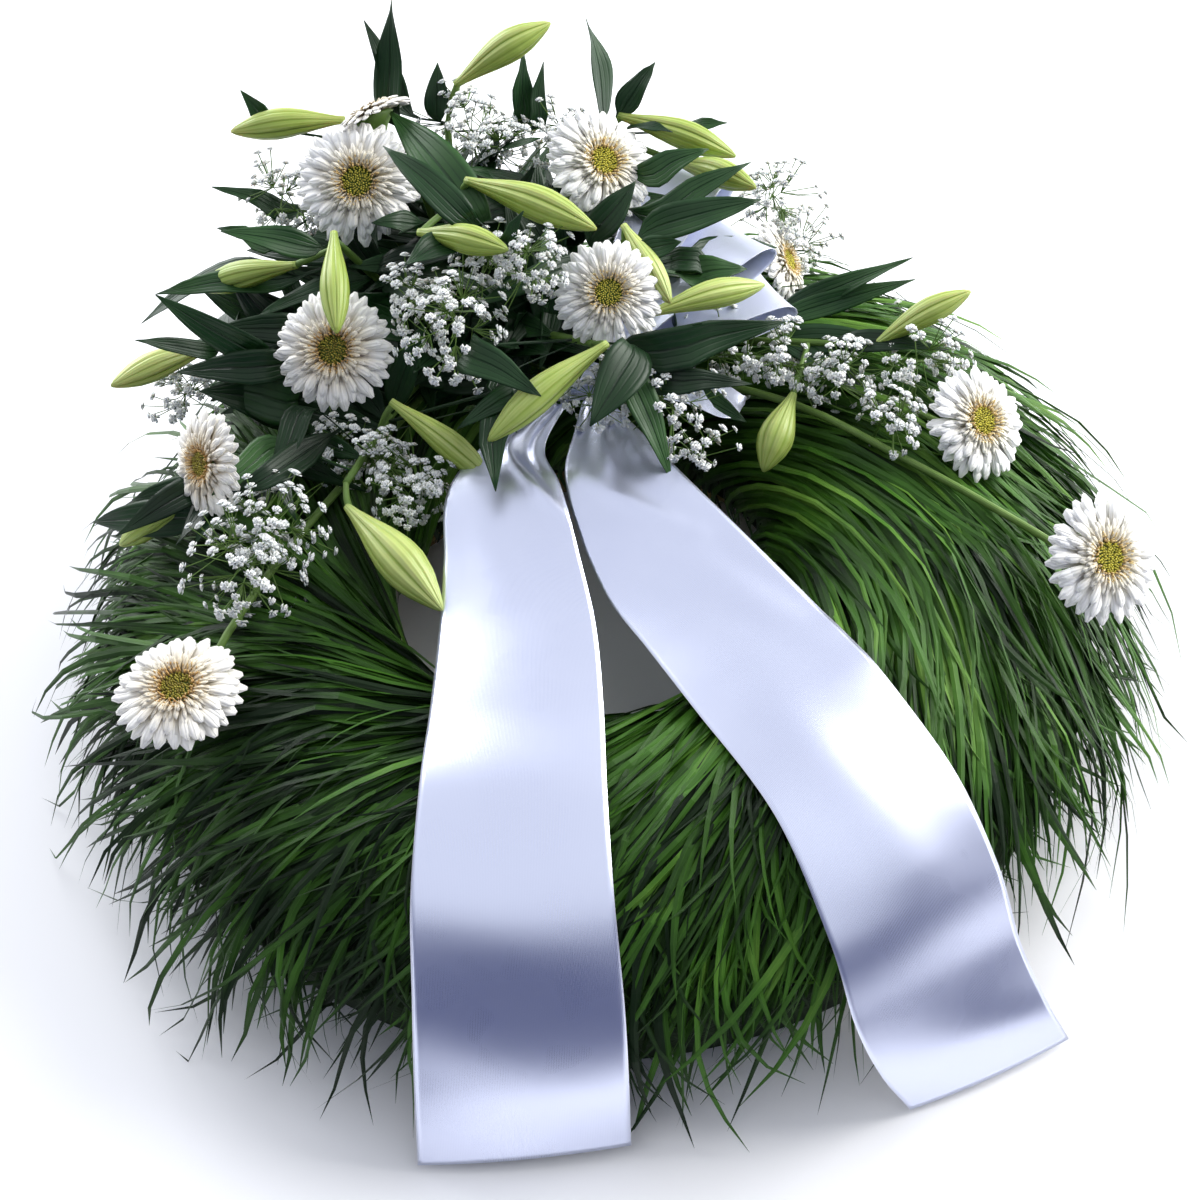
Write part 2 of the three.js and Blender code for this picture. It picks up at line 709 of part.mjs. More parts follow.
// The knot is gathered satin on a wooden pick that stands in the foam.
function makeKnot(grow) {
  const ball = new THREE.SphereGeometry(1, 10, 7);
  ball.scale(...knot.radii.map((radius) => radius + grow)).translate(...knot.at);
  const top = vector(knot.at);
  const foot = footOf(top);
  return solid(ball).add(tube([foot, foot.clone().lerp(top, 0.5), top], knot.pickThickness / 2 + grow, 1, 6));
}

// A wire staple over the tray's lug, with both legs in the straw.
function makePin(side, grow) {
  const turn = THREE.MathUtils.degToRad(foam.turn);
  const out = new THREE.Vector3(Math.cos(turn), Math.sin(turn), 0);
  const across = new THREE.Vector3(-Math.sin(turn), Math.cos(turn), 0);
  const reach = foam.length / 2 + tray.wall + tray.play + tray.lugLength / 2;
  const middle = new THREE.Vector3(...foam.centre, 0).addScaledVector(out, side * reach);
  const top = tray.floorHeight + tray.wall + gap + pin.thickness / 2;
  const at = (sideways, height) => middle.clone().addScaledVector(across, sideways).setZ(height);
  const rod = (from, to) => spindle([from, to], [pin.thickness / 2, pin.thickness / 2], 5, grow);
  const half = pin.span / 2;
  const legs = [-half, half].map((sideways) => rod(at(sideways, top - pin.depth), at(sideways, top + 1)));
  return legs[0].add(rod(at(-half - 1, top), at(half + 1, top))).add(legs[1]);
}

// ---- Assembly ----

// Each piece gives way to the pieces placed before it, and keeps the largest body that is left.
const placed = [];
const wreath = new THREE.Group();

function clashes(a, b) {
  const [p, q] = [a.boundingBox(), b.boundingBox()];
  return [0, 1, 2].every((axis) => p.min[axis] < q.max[axis] && q.min[axis] < p.max[axis]);
}

function place(name, make, colour) {
  let piece = make(0);
  for (const other of placed) if (clashes(piece, other.grown)) piece = piece.subtract(other.grown);
  const bodies = piece.decompose().sort((a, b) => b.volume() - a.volume());
  placed.push({ name, grown: make(gap) });
  const mesh = bodies[0].getMesh();
  const geometry = new THREE.BufferGeometry();
  geometry.setAttribute("position", new THREE.BufferAttribute(mesh.vertProperties, 3));
  geometry.setIndex(new THREE.BufferAttribute(mesh.triVerts, 1));
  geometry.computeVertexNormals();
  const material = new THREE.MeshStandardMaterial({ color: colour, roughness: 0.7, metalness: 0 });
  const node = new THREE.Mesh(geometry, material);
  node.name = name;
  wreath.add(node);
}

place("binding_wire", makeWire, colours.wire);
for (const [name, side] of Object.entries(pins)) place(name, (grow) => makePin(side, grow), colours.wire);
place("straw_ring", makeStrawRing, colours.straw);
place("foam_tray", makeTray, colours.tray);
const room = trayRoom();
for (let i = 0; i < bunches.count; i++) {
  const name = "grass_bunch_" + String(i + 1).padStart(2, "0");
  place(name, () => makeBunch(i).subtract(room), colours.grass);
}
for (const [name, rows] of Object.entries(tails)) {
  place(name, (grow) => makeSatin(rows, grow), colours.ribbon);
}
place("ribbon_knot", makeKnot, colours.ribbon);
for (const [name, loop] of Object.entries(loops)) {
  place(name, (grow) => makeSatin(loopRows(loop), grow), colours.ribbon);
}
place("bow_end", (grow) => makeSatin(bowEnd, grow), colours.ribbon);
for (const [name, flower] of Object.entries(gerberas)) {
  place(name, (grow) => makeGerbera(flower, grow), colours.gerbera);
}
for (const [name, lily] of Object.entries(lilies)) place(name, (grow) => makeLily(lily, grow), colours.lily);
for (const [name, spray] of Object.entries(gypsophila)) {
  place(name, (grow) => makeGypsophila(spray, grow), colours.gypsophila);
}
place("foam_block", makeFoam, colours.foam);

export default wreath;
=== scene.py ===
# Memorial wreath: grass bound over a straw ring, a spray of flowers in foam, and a satin bow with long tails.
import json
import math
import random
from functools import partialmethod

import bpy
import numpy as np
from mathutils import Matrix, Vector

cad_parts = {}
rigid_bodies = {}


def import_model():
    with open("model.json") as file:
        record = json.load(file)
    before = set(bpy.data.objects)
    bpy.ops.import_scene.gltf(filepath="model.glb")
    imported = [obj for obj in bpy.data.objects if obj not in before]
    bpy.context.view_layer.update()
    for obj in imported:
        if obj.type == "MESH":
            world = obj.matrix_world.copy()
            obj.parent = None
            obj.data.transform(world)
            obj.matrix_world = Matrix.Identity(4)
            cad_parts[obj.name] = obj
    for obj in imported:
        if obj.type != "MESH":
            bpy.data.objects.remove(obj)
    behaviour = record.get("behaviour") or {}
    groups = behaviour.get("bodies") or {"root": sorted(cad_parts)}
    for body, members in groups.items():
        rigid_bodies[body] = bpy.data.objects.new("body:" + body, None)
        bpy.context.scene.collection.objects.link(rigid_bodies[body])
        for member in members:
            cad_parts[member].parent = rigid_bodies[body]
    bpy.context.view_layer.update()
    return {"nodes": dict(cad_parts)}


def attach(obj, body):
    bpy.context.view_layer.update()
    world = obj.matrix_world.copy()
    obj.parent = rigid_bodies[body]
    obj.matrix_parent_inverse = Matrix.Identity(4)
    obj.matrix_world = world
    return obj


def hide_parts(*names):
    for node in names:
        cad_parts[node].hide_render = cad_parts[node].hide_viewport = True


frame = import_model()
body = "root"
mm = 0.001
up = Vector((0, 0, 1))
golden = math.pi * (3 - math.sqrt(5))  # the turn between two florets of a flower

camera = {"target": (0, -0.005, 0.1), "elevation": 47, "roll": -5.5, "distance": 1.8, "lens": 65}


def placeCamera():
    tilt, roll = math.radians(camera["elevation"]), math.radians(camera["roll"])
    away = Vector((0, -math.cos(tilt), math.sin(tilt)))
    right = Vector((1, 0, 0))
    top = away.cross(right)
    turnedRight = right * math.cos(roll) + top * math.sin(roll)
    turnedTop = top * math.cos(roll) - right * math.sin(roll)
    turn = Matrix((turnedRight, turnedTop, away)).transposed().to_4x4()
    data = bpy.data.cameras.new("camera")
    data.lens = camera["lens"]
    eye = bpy.data.objects.new("camera", data)
    eye.matrix_world = Matrix.Translation(Vector(camera["target"]) + away * camera["distance"]) @ turn
    bpy.context.scene.collection.objects.link(eye)
    bpy.context.scene.camera = eye


placeCamera()
print("camera placed")


# Node trees are written as arithmetic: a Field is an output socket, in a geometry tree or in a shader tree.
def feed(tree, socket, value):
    if isinstance(value, Field):
        tree.links.new(value.socket, socket)
    else:
        socket.default_value = value


class Field:
    def __init__(self, tree, socket):
        self.tree, self.socket = tree, socket

    def calc(self, operation, *others, kind="ShaderNodeMath", result=0):
        node = self.tree.nodes.new(kind)
        node.operation = operation
        for socket, value in zip(node.inputs, (self, *others)):
            feed(self.tree, socket, value)
        return Field(self.tree, node.outputs[result])

    __add__ = partialmethod(calc, "ADD")
    __sub__ = partialmethod(calc, "SUBTRACT")
    __mul__ = partialmethod(calc, "MULTIPLY")
    __truediv__ = partialmethod(calc, "DIVIDE")
    __pow__ = partialmethod(calc, "POWER")
    sin = partialmethod(calc, "SINE")
    cos = partialmethod(calc, "COSINE")
    absolute = partialmethod(calc, "ABSOLUTE")
    atLeast = partialmethod(calc, "MAXIMUM")
    atMost = partialmethod(calc, "MINIMUM")

    def clipped(self):  # kept from 0 to 1
        return self.atLeast(0.0).atMost(1.0)

    def peak(self, centre, slope):  # 1 at the centre, falling to 0 on both sides
        return ((self - centre).absolute() * -slope + 1).atLeast(0.0)

    vector = partialmethod(calc, kind="ShaderNodeVectorMath")

    def plus(self, other):
        return self.vector("ADD", other)

    def scaled(self, factor):
        node = self.tree.nodes.new("ShaderNodeVectorMath")
        node.operation = "SCALE"
        feed(self.tree, node.inputs[0], self)
        feed(self.tree, node.inputs["Scale"], factor)
        return Field(self.tree, node.outputs[0])

    def parts(self):
        node = self.tree.nodes.new("ShaderNodeSeparateXYZ")
        feed(self.tree, node.inputs[0], self)
        return [Field(self.tree, socket) for socket in node.outputs]

    def curve(self, points):  # a smooth curve through points, with x from 0 to 1
        node = self.tree.nodes.new("ShaderNodeFloatCurve")
        node.mapping.use_clip = False
        node.mapping.extend = "EXTRAPOLATED"
        line = node.mapping.curves[0]
        for place in (0, 1):
            line.points[place].location = points[-place]
        for point in points[1:-1]:
            line.points.new(*point)
        node.mapping.update()
        feed(self.tree, node.inputs["Value"], self)
        return Field(self.tree, node.outputs[0])


class Tree:  # a node tree under construction
    def __init__(self, tree):
        self.tree = tree

    def node(self, kind, inputs=None, result=0, **settings):
        node = self.tree.nodes.new(kind)
        for label, value in settings.items():
            setattr(node, label, value)
        for label, value in (inputs or {}).items():
            feed(self.tree, node.inputs[label], value)
        return Field(self.tree, node.outputs[result])

    def join(self, x, y, z):
        return self.node("ShaderNodeCombineXYZ", {"X": x, "Y": y, "Z": z})

    def blend(self, factor, first, second):  # two colours mixed
        node = self.node("ShaderNodeMix", {"Factor": factor}, data_type="RGBA").socket.node
        for label, value in (("A", first), ("B", second)):
            socket = next(s for s in node.inputs if s.name == label and s.type == "RGBA")
            feed(self.tree, socket, value if isinstance(value, Field) else (*value, 1))
        return Field(self.tree, next(s for s in node.outputs if s.type == "RGBA"))


class Growth(Tree):  # a geometry tree with named sizes as its inputs
    kinds = {int: "NodeSocketInt", float: "NodeSocketFloat"}

    def __init__(self, name, sizes, takesMesh=False):
        super().__init__(bpy.data.node_groups.new(name, "GeometryNodeTree"))
        face = self.tree.interface
        face.new_socket("Geometry", in_out="OUTPUT", socket_type="NodeSocketGeometry")
        if takesMesh:
            face.new_socket("Geometry", in_out="INPUT", socket_type="NodeSocketGeometry")
        self.ids = {}
        for label, value in sizes.items():
            socket = face.new_socket(label, in_out="INPUT", socket_type=self.kinds[type(value)])
            socket.default_value = value
            self.ids[label] = socket.identifier
        self.entry = self.tree.nodes.new("NodeGroupInput")

    def size(self, label):
        return Field(self.tree, self.entry.outputs[label])

    def named(self, name, kind):
        return self.node("GeometryNodeInputNamedAttribute", {"Name": name}, data_type=kind)

    def draw(self, low, high, identity, salt):  # one random number for each identity
        node = self.tree.nodes.new("FunctionNodeRandomValue")
        places = [socket for socket in node.inputs if socket.enabled]
        for socket, value in zip(places, (low, high, identity, self.size("Seed") + salt)):
            feed(self.tree, socket, value)
        return Field(self.tree, next(socket for socket in node.outputs if socket.enabled))

    def rods(self, count, sides, segments):  # count rods of length 1 at the origin, to be bent into shape
        inputs = {"Vertices": sides, "Side Segments": segments, "Radius": 1.0, "Depth": 1.0}
        rod = self.node("GeometryNodeMeshCylinder", inputs, fill_type="NGON")
        points = self.node("GeometryNodePoints", {"Count": count})
        points = self.store(points, "INT", "rod", self.node("GeometryNodeInputIndex"))
        placed = self.node("GeometryNodeInstanceOnPoints", {"Points": points, "Instance": rod})
        mesh = self.node("GeometryNodeRealizeInstances", {"Geometry": placed})
        x, y, z = self.node("GeometryNodeInputPosition").parts()
        return mesh, self.named("rod", "INT"), x, y, z + 0.5

    def store(self, mesh, kind, name, value):
        inputs = {"Geometry": mesh, "Name": name, "Value": value}
        return self.node("GeometryNodeStoreNamedAttribute", inputs, data_type=kind, domain="POINT")

    def around(self, angle, out, aside, height):  # a place at an angle round the upright axis
        x = out * angle.cos() + aside * angle.sin()
        y = out * angle.sin() - aside * angle.cos()
        return self.join(x, y, height)

    def shape(self, mesh, position, mark, material, smooth=True):  # bends a mesh, marks it and paints it
        mesh = self.store(mesh, "FLOAT_VECTOR", "mark", mark)
        mesh = self.node("GeometryNodeSetPosition", {"Geometry": mesh, "Position": position})
        mesh = self.node("GeometryNodeSetShadeSmooth", {"Geometry": mesh, "Shade Smooth": smooth})
        return self.node("GeometryNodeSetMaterial", {"Geometry": mesh, "Material": material})

    def finish(self, *meshes):
        join = self.tree.nodes.new("GeometryNodeJoinGeometry")
        for mesh in reversed(meshes):
            self.tree.links.new(mesh.socket, join.inputs[0])
        whole = self.node("GeometryNodeRealizeInstances", {"Geometry": Field(self.tree, join.outputs[0])})
        leave = self.tree.nodes.new("NodeGroupOutput")
        self.tree.links.new(whole.socket, leave.inputs[0])

    def grow(self, name, sizes, seedMesh=None):  # runs the tree once and hands back a plain mesh
        holder = showMesh(name + "Seed", seedMesh or bpy.data.meshes.new(name + "Seed"))
        modifier = holder.modifiers.new("grow", "NODES")
        modifier.node_group = self.tree
        for label, value in sizes.items():
            modifier[self.ids[label]] = value
        bpy.context.view_layer.update()
        made = bpy.data.meshes.new_from_object(holder.evaluated_get(bpy.context.evaluated_depsgraph_get()))
        bpy.data.objects.remove(holder)
        made.name = name
        return made


class Paint(Tree):  # a material round its Principled shader
    def __init__(self, name, **settings):
        self.material = bpy.data.materials.new(name)
        self.material.use_nodes = True
        super().__init__(self.material.node_tree)
        self.shader = self.tree.nodes["Principled BSDF"]
        for label, value in settings.items():
            self.shader.inputs[label.replace("_", " ")].default_value = value

    def mark(self):
        return self.node("ShaderNodeAttribute", attribute_name="mark", result="Vector").parts()

    def place(self):
        return self.node("ShaderNodeTexCoord", result="Object")

    def mottle(self, scale, contrast, place=None):
        inputs = {"Place": place or self.place(), "Scale": scale, "Contrast": contrast}
        return self.node("ShaderNodeGroup", inputs, node_tree=patches)

    def lines(self, across, count, sharpness=1.0):
        inputs = {"Across": across, "Count": count, "Sharpness": sharpness}
        return self.node("ShaderNodeGroup", inputs, node_tree=ribs)

    def bump(self, height, strength, distance):
        inputs = {"Height": height, "Strength": strength, "Distance": distance}
        self.give("Normal", self.node("ShaderNodeBump", inputs))

    def give(self, label, value):
        feed(self.tree, self.shader.inputs[label], value)

    colour = partialmethod(give, "Base Color")
    rough = partialmethod(give, "Roughness")


def shaderGroup(name, inputs, result):
    tree = bpy.data.node_groups.new(name, "ShaderNodeTree")
    for label, value in inputs.items():
        kind = "NodeSocketVector" if isinstance(value, tuple) else "NodeSocketFloat"
        tree.interface.new_socket(label, in_out="INPUT", socket_type=kind).default_value = value
    tree.interface.new_socket(result, in_out="OUTPUT", socket_type="NodeSocketFloat")
    entry, leave = tree.nodes.new("NodeGroupInput"), tree.nodes.new("NodeGroupOutput")
    return tree, {label: Field(tree, entry.outputs[label]) for label in inputs}, leave.inputs[0]


def makeRibs():  # fine lines that run along a blade, leaf or petal
    tree, given, leave = shaderGroup("ribs", {"Across": 0.0, "Count": 10.0, "Sharpness": 2.0}, "Line")
    wave = (given["Across"] * given["Count"] * math.pi).cos() * 0.5 + 0.5
    feed(tree, leave, wave ** given["Sharpness"])
    return tree


def makePatches():  # soft uneven patches, from 0 to 1
    inputs = {"Place": (0.0, 0.0, 0.0), "Scale": 10.0, "Contrast": 2.0}
    tree, given, leave = shaderGroup("patches", inputs, "Mask")
    inputs = {"Vector": given["Place"], "Scale": given["Scale"], "Detail": 3}
    noise = Tree(tree).node("ShaderNodeTexNoise", inputs)
    feed(tree, leave, ((noise - 0.5) * given["Contrast"] + 0.5).clipped())
    return tree


ribs, patches = makeRibs(), makePatches()

# Marks: x runs along the blade, leaf or petal, y runs across it, and z is the tone of the single piece; on
# the grass and the buds z also carries painted shade.
# On the ribbon x runs across and y along.
greens = {
    "grass": {"low": (0.004, 0.016, 0.002), "middle": (0.048, 0.145, 0.012), "high": (0.19, 0.36, 0.05)},
    "leaf": {"low": (0.002, 0.010, 0.003), "middle": (0.010, 0.042, 0.010), "high": (0.05, 0.14, 0.03)},
    "bud": {"low": (0.10, 0.155, 0.012), "middle": (0.29, 0.40, 0.06), "high": (0.56, 0.64, 0.22)},
    "stem": {"low": (0.05, 0.11, 0.015), "middle": (0.11, 0.20, 0.035), "high": (0.20, 0.30, 0.08)},
}


def greenOf(paint, name, tone):
    shades = greens[name]
    half = paint.blend((tone * 2.0).atMost(1.0), shades["low"], shades["middle"])
    return paint.blend(((tone - 0.5) * 2.0).atLeast(0.0), half, shades["high"])


def paintGrass():
    paint = Paint("grassBlade", Roughness=0.42, Specular_IOR_Level=0.22)
    along, across, tone = paint.mark()
    mottled, line, midrib = paint.mottle(14.0, 2.4), paint.lines(across, 9.0), across.peak(0.0, 7)
    # along * 0.08 makes each blade darker towards its root: painted shade where the blades overlap.
    shade = tone * 0.66 + along * 0.08 + mottled * 0.40 + midrib * 0.12 + line * 0.05 - 0.22
    paint.colour(greenOf(paint, "grass", shade))
    paint.bump(line, 0.3, 0.0004)
    return paint.material


def paintShadeMat():
    paint = Paint("grassUnderlayer", Roughness=0.8, Specular_IOR_Level=0.2)
    mottled = paint.mottle(60.0, 2.0)
    # Nearly black green all over: painted shade for the depths between the blades.
    paint.colour(paint.blend(mottled, (0.003, 0.009, 0.002), (0.014, 0.038, 0.006)))
    paint.bump(mottled, 0.8, 0.006)
    return paint.material


def paintLeaf():
    paint = Paint("lilyLeaf", Roughness=0.34, Specular_IOR_Level=0.3)
    along, across, tone = paint.mark()
    veins, mottled = paint.lines(across, 6.0, 6.0), paint.mottle(26.0, 1.8)
    midrib = (across * across * -120 + 1).atLeast(0.0)
    # Painted shade darkens the vein grooves and the midrib crease.
    shade = tone * 0.72 + mottled * 0.3 - veins * 0.08 - midrib * 0.14 + along * 0.06 - 0.02
    paint.colour(greenOf(paint, "leaf", shade))
    paint.rough(mottled * 0.14 + veins * 0.06 + 0.32)
    paint.bump(veins * -0.35 - midrib, 0.6, 0.0009)
    return paint.material


def paintBud():
    paint = Paint("lilyBud", Roughness=0.4, Specular_IOR_Level=0.45, Subsurface_Weight=0.06)
    _, petal, tone = paint.mark()  # y is 0 on a petal's midrib and 1 on a seam
    mottled, fibres = paint.mottle(40.0, 1.4), paint.lines(petal, 11.0)
    groove, marginHighlight = petal.peak(0.33, 9), petal.peak(0.80, 7)
    seam = (petal * 9 - 8).atLeast(0.0)
    # Painted shade darkens the grooves and seams, and a painted highlight lightens the raised margins beside
    # the seams.
    shade = tone * 0.9 + mottled * 0.22 + fibres * 0.07 - groove * 0.22 - seam * 0.35 + marginHighlight * 0.16 - 0.03
    paint.colour(greenOf(paint, "bud", shade))
    paint.bump(fibres * 0.3 + mottled * 0.3 - groove - seam, 0.5, 0.0009)
    return paint.material


def paintStem():
    paint = Paint("stem", Roughness=0.5, Specular_IOR_Level=0.35)
    _, across, tone = paint.mark()
    paint.colour(greenOf(paint, "stem", tone * 0.5 + paint.mottle(50.0, 1.8) * 0.4))
    paint.bump(paint.lines(across, 12.0), 0.3, 0.0004)
    return paint.material


def paintPetal():
    scatter = {"Subsurface_Weight": 0.12, "Subsurface_Radius": (0.004, 0.004, 0.003)}
    paint = Paint("gerberaPetal", Roughness=0.5, Specular_IOR_Level=0.3, **scatter)
    share, across, tone = paint.mark()
    line = paint.lines(across, 3.0, 2.0)
    away = (share * 2.6 - 0.9).clipped()
    white = paint.blend(away, (0.88, 0.82, 0.66), (0.95, 0.95, 0.93))
    cream = paint.blend(away, (0.82, 0.64, 0.38), (0.93, 0.87, 0.74))
    shown = paint.blend(tone.clipped(), white, cream)
    # Painted shade darkens the grooves along each petal.
    paint.colour(paint.blend(line * 0.22, shown, (0.70, 0.68, 0.60)))
    paint.bump(line * -1.0, 0.6, 0.0008)
    return paint.material


def paintTip(name, foot, young, awayFromWindow, scatter=0.0):  # small florets and petals, from the foot to the tip
    paint = Paint(name, Roughness=0.6, Specular_IOR_Level=0.3, Subsurface_Weight=scatter)
    along, _, tone = paint.mark()
    paint.colour(paint.blend(along, foot, paint.blend(tone.atMost(1.0), young, awayFromWindow)))
    return paint.material


def paintSatin(name, metallic):
    paint = Paint(name, Roughness=0.3, Specular_IOR_Level=0.5, Metallic=metallic)
    across = paint.mark()[0]
    selvedge = (across.absolute() * 90 - 88.9).clipped()
    weave, mottled = paint.lines(across, 130.0), paint.mottle(7.0, 1.2)
    tint = paint.blend(mottled, (0.74, 0.78, 0.97), (0.80, 0.84, 1.0))
    paint.colour(paint.blend(selvedge, tint, (0.88, 0.90, 1.0)))
    paint.rough(weave * 0.05 + mottled * 0.07 + 0.24)
    paint.bump(weave + selvedge * 3, 0.10, 0.0003)
    return paint.material


def paintStraw():
    paint = Paint("straw", Roughness=0.75, Specular_IOR_Level=0.3)
    place = paint.place()
    fibres = paint.mottle(90.0, 3.0, place.vector("MULTIPLY", (1.0, 1.0, 9.0)))
    broad = paint.mottle(12.0, 2.0, place)
    paint.colour(paint.blend(fibres * 0.7 + broad * 0.3, (0.20, 0.13, 0.05), (0.58, 0.44, 0.20)))
    paint.bump(fibres, 0.9, 0.004)
    return paint.material


def paintPlain(name, dark, light, rough, scale):  # lacquered wire, moulded tray and wet foam
    paint = Paint(name, Roughness=rough, Specular_IOR_Level=0.4)
    mottled = paint.mottle(scale, 2.0)
    paint.colour(paint.blend(mottled, dark, light))
    paint.rough(mottled * 0.15 + (rough - 0.07))
    paint.bump(mottled, 0.4, 0.0008)
    return paint.material


looks = {
    "grass": paintGrass(),
    "mat": paintShadeMat(),
    "leaf": paintLeaf(),
    "bud": paintBud(),
    "stem": paintStem(),
    "petal": paintPetal(),
    "floret": paintTip("gerberaFloret", (0.34, 0.17, 0.03), (0.90, 0.74, 0.36), (0.52, 0.28, 0.08)),
    "disc": paintTip("gerberaDisc", (0.26, 0.22, 0.02), (0.78, 0.72, 0.10), (0.16, 0.11, 0.02)),
    "gypsophila": paintTip(
        "gypsophilaPetal", (0.40, 0.46, 0.30), (0.86, 0.88, 0.84), (0.97, 0.97, 0.97), 0.1
    ),
    "satin": paintSatin("satin", 0.93),
    "bow": paintSatin("bowSatin", 0.4),
    "straw": paintStraw(),
    "wire": paintPlain("lacqueredWire", (0.02, 0.05, 0.02), (0.05, 0.10, 0.04), 0.4, 80.0),
    "tray": paintPlain("mouldedTray", (0.015, 0.05, 0.02), (0.03, 0.08, 0.035), 0.45, 40.0),
    "foam": paintPlain("wetFoam", (0.012, 0.06, 0.02), (0.04, 0.14, 0.05), 0.8, 300.0),
}
for name, look in {
    "straw_ring": "straw",
    "binding_wire": "wire",
    "tray_pin_left": "wire",
    "tray_pin_right": "wire",
    "foam_tray": "tray",
    "foam_block": "foam",
}.items():
    slots = frame["nodes"][name].data.materials
    slots.clear()
    slots.append(looks[look])
print("materials made")


def newMesh(name, points, faces, edges=()):
    mesh = bpy.data.meshes.new(name)
    mesh.from_pydata([tuple(p) for p in points], edges, faces)
    return mesh


def addAttribute(mesh, name, kind, values):
    data = mesh.attributes.new(name, kind, "POINT").data
    data.foreach_set("vector" if kind == "FLOAT_VECTOR" else "value", np.asarray(values, np.float32).ravel())


def showMesh(name, mesh):
    piece = bpy.data.objects.new(name, mesh)
    bpy.context.scene.collection.objects.link(piece)
    return piece


def marksOf(grid, *values):  # a mark for each point of a grid
    marks = np.zeros((*np.shape(grid)[:2], 3))
    for k, value in enumerate(values):
        marks[..., k] = value
    return marks


class Bench:  # gathers rings and finished meshes into one mesh, with a mark for each point
    def __init__(self, *lookNames):
        self.lookNames = lookNames
        self.points, self.faces, self.paints, self.marks = [], [], [], []

    def loft(self, rings, look, marks):  # rings of points, closed with one face at both ends
        rings = np.asarray(rings, float)
        count, size = rings.shape[:2]
        first = len(self.points)
        last = first + (count - 1) * size
        self.points.extend(rings.reshape(-1, 3))
        self.marks.extend(np.asarray(marks, float).reshape(-1, 3))
        made = [
            (here + j, here + (j + 1) % size, here + size + (j + 1) % size, here + size + j)
            for here in range(first, last, size)
            for j in range(size)
        ]
        made += [tuple(range(first + size - 1, first - 1, -1)), tuple(range(last, last + size))]
        self.faces.extend(made)
        self.paints.extend([self.lookNames.index(look)] * len(made))

    def add(self, mesh):  # a finished mesh whose materials are looks
        count = len(mesh.vertices)
        places, marks = np.zeros(count * 3), np.zeros(count * 3)
        mesh.vertices.foreach_get("co", places)
        mesh.attributes["mark"].data.foreach_get("vector", marks)
        first = len(self.points)
        self.points.extend(places.reshape(-1, 3))
        self.marks.extend(marks.reshape(-1, 3))
        lookOf = {looks[look].name: place for place, look in enumerate(self.lookNames)}
        for polygon in mesh.polygons:
            self.faces.append(tuple(first + v for v in polygon.vertices))
            self.paints.append(lookOf[mesh.materials[polygon.material_index].name])

    def make(self, name):
        mesh = newMesh(name, self.points, self.faces)
        for look in self.lookNames:
            mesh.materials.append(looks[look])
        mesh.polygons.foreach_set("material_index", self.paints)
        mesh.polygons.foreach_set("use_smooth", [True] * len(self.faces))
        addAttribute(mesh, "mark", "FLOAT_VECTOR", self.marks)
        mesh.validate()
        return showMesh(name, mesh)


def settle(piece, slotName, *nodes):  # rides on the wreath and stands for its CAD nodes
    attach(piece, body)
    if nodes:
        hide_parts(*nodes)
    return piece


def stepsOf(points):
    return np.linalg.norm(np.diff(points, axis=0), axis=1)


def spline(points, count):  # points at even distances on a Catmull-Rom curve
    points = [Vector(p) for p in points]
    padded = [points[0] * 2 - points[1], *points, points[-1] * 2 - points[-2]]
    fine = []
    steps = 12
    for a, b, c, d in zip(padded, padded[1:], padded[2:], padded[3:]):
        for i in range(steps):
            t = i / steps
            bend, twist = 2 * a - 5 * b + 4 * c - d, 3 * b - a - 3 * c + d
            fine.append(0.5 * (2 * b + (c - a) * t + bend * t * t + twist * t**3))
    fine.append(points[-1])
    fine = np.array(fine)
    run = np.concatenate([[0], np.cumsum(stepsOf(fine))])
    where = np.linspace(0, run[-1], count)
    return np.stack([np.interp(where, run, fine[:, k]) for k in range(3)], 1)


def unit(rows):
    rows = np.asarray(rows, float)
    return rows / np.maximum(np.linalg.norm(rows, axis=-1, keepdims=True), 1e-9)


def roundTurn(sides):
    return -np.arange(sides) * 2 * math.pi / sides


def wheels(line, sides):  # directions round a line, carried along it without twist
    tangents = unit(np.gradient(line, axis=0))
    side = np.cross(tangents[0], (0, 0, 1) if abs(tangents[0][2]) < 0.9 else (1, 0, 0))
    across = []
    for tangent in tangents:
        side = unit(side - tangent * np.dot(side, tangent))
        across.append(side)
    lift = np.cross(np.array(across), tangents)[:, None]
    angles = roundTurn(sides)[:, None]
    return np.array(across)[:, None] * np.cos(angles) + lift * np.sin(angles)


def addRod(bench, points, radius, endRadius, tone, sides=8, steps=20):
    line = spline(points, steps)
    rings = line[:, None] + wheels(line, sides) * np.linspace(radius, endRadius, steps)[:, None, None]
    marks = marksOf(rings, np.linspace(0, 1, steps)[:, None], np.linspace(-1, 1, sides), tone)
    bench.loft(rings, "stem", marks)


# Stems, flowers and leaves end in the foam. Sizes are millimetres until a piece is made.
foam = {"centre": (-90, 235, 190.4), "size": (220, 110, 80), "turn": 21, "depth": 28, "least": 0.04}


def footOf(point):  # where a stem ends inside the foam, on the line from the foam's middle
    middle = Vector(foam["centre"])
    away = Vector(point) - middle
    turned = Matrix.Rotation(-math.radians(foam["turn"]), 3, "Z") @ away
    reach = max(abs(v) / (s / 2) for v, s in zip(turned, foam["size"]))
    distance = away.length / reach - foam["depth"]
    return middle.lerp(Vector(point), max(foam["least"], distance / away.length))


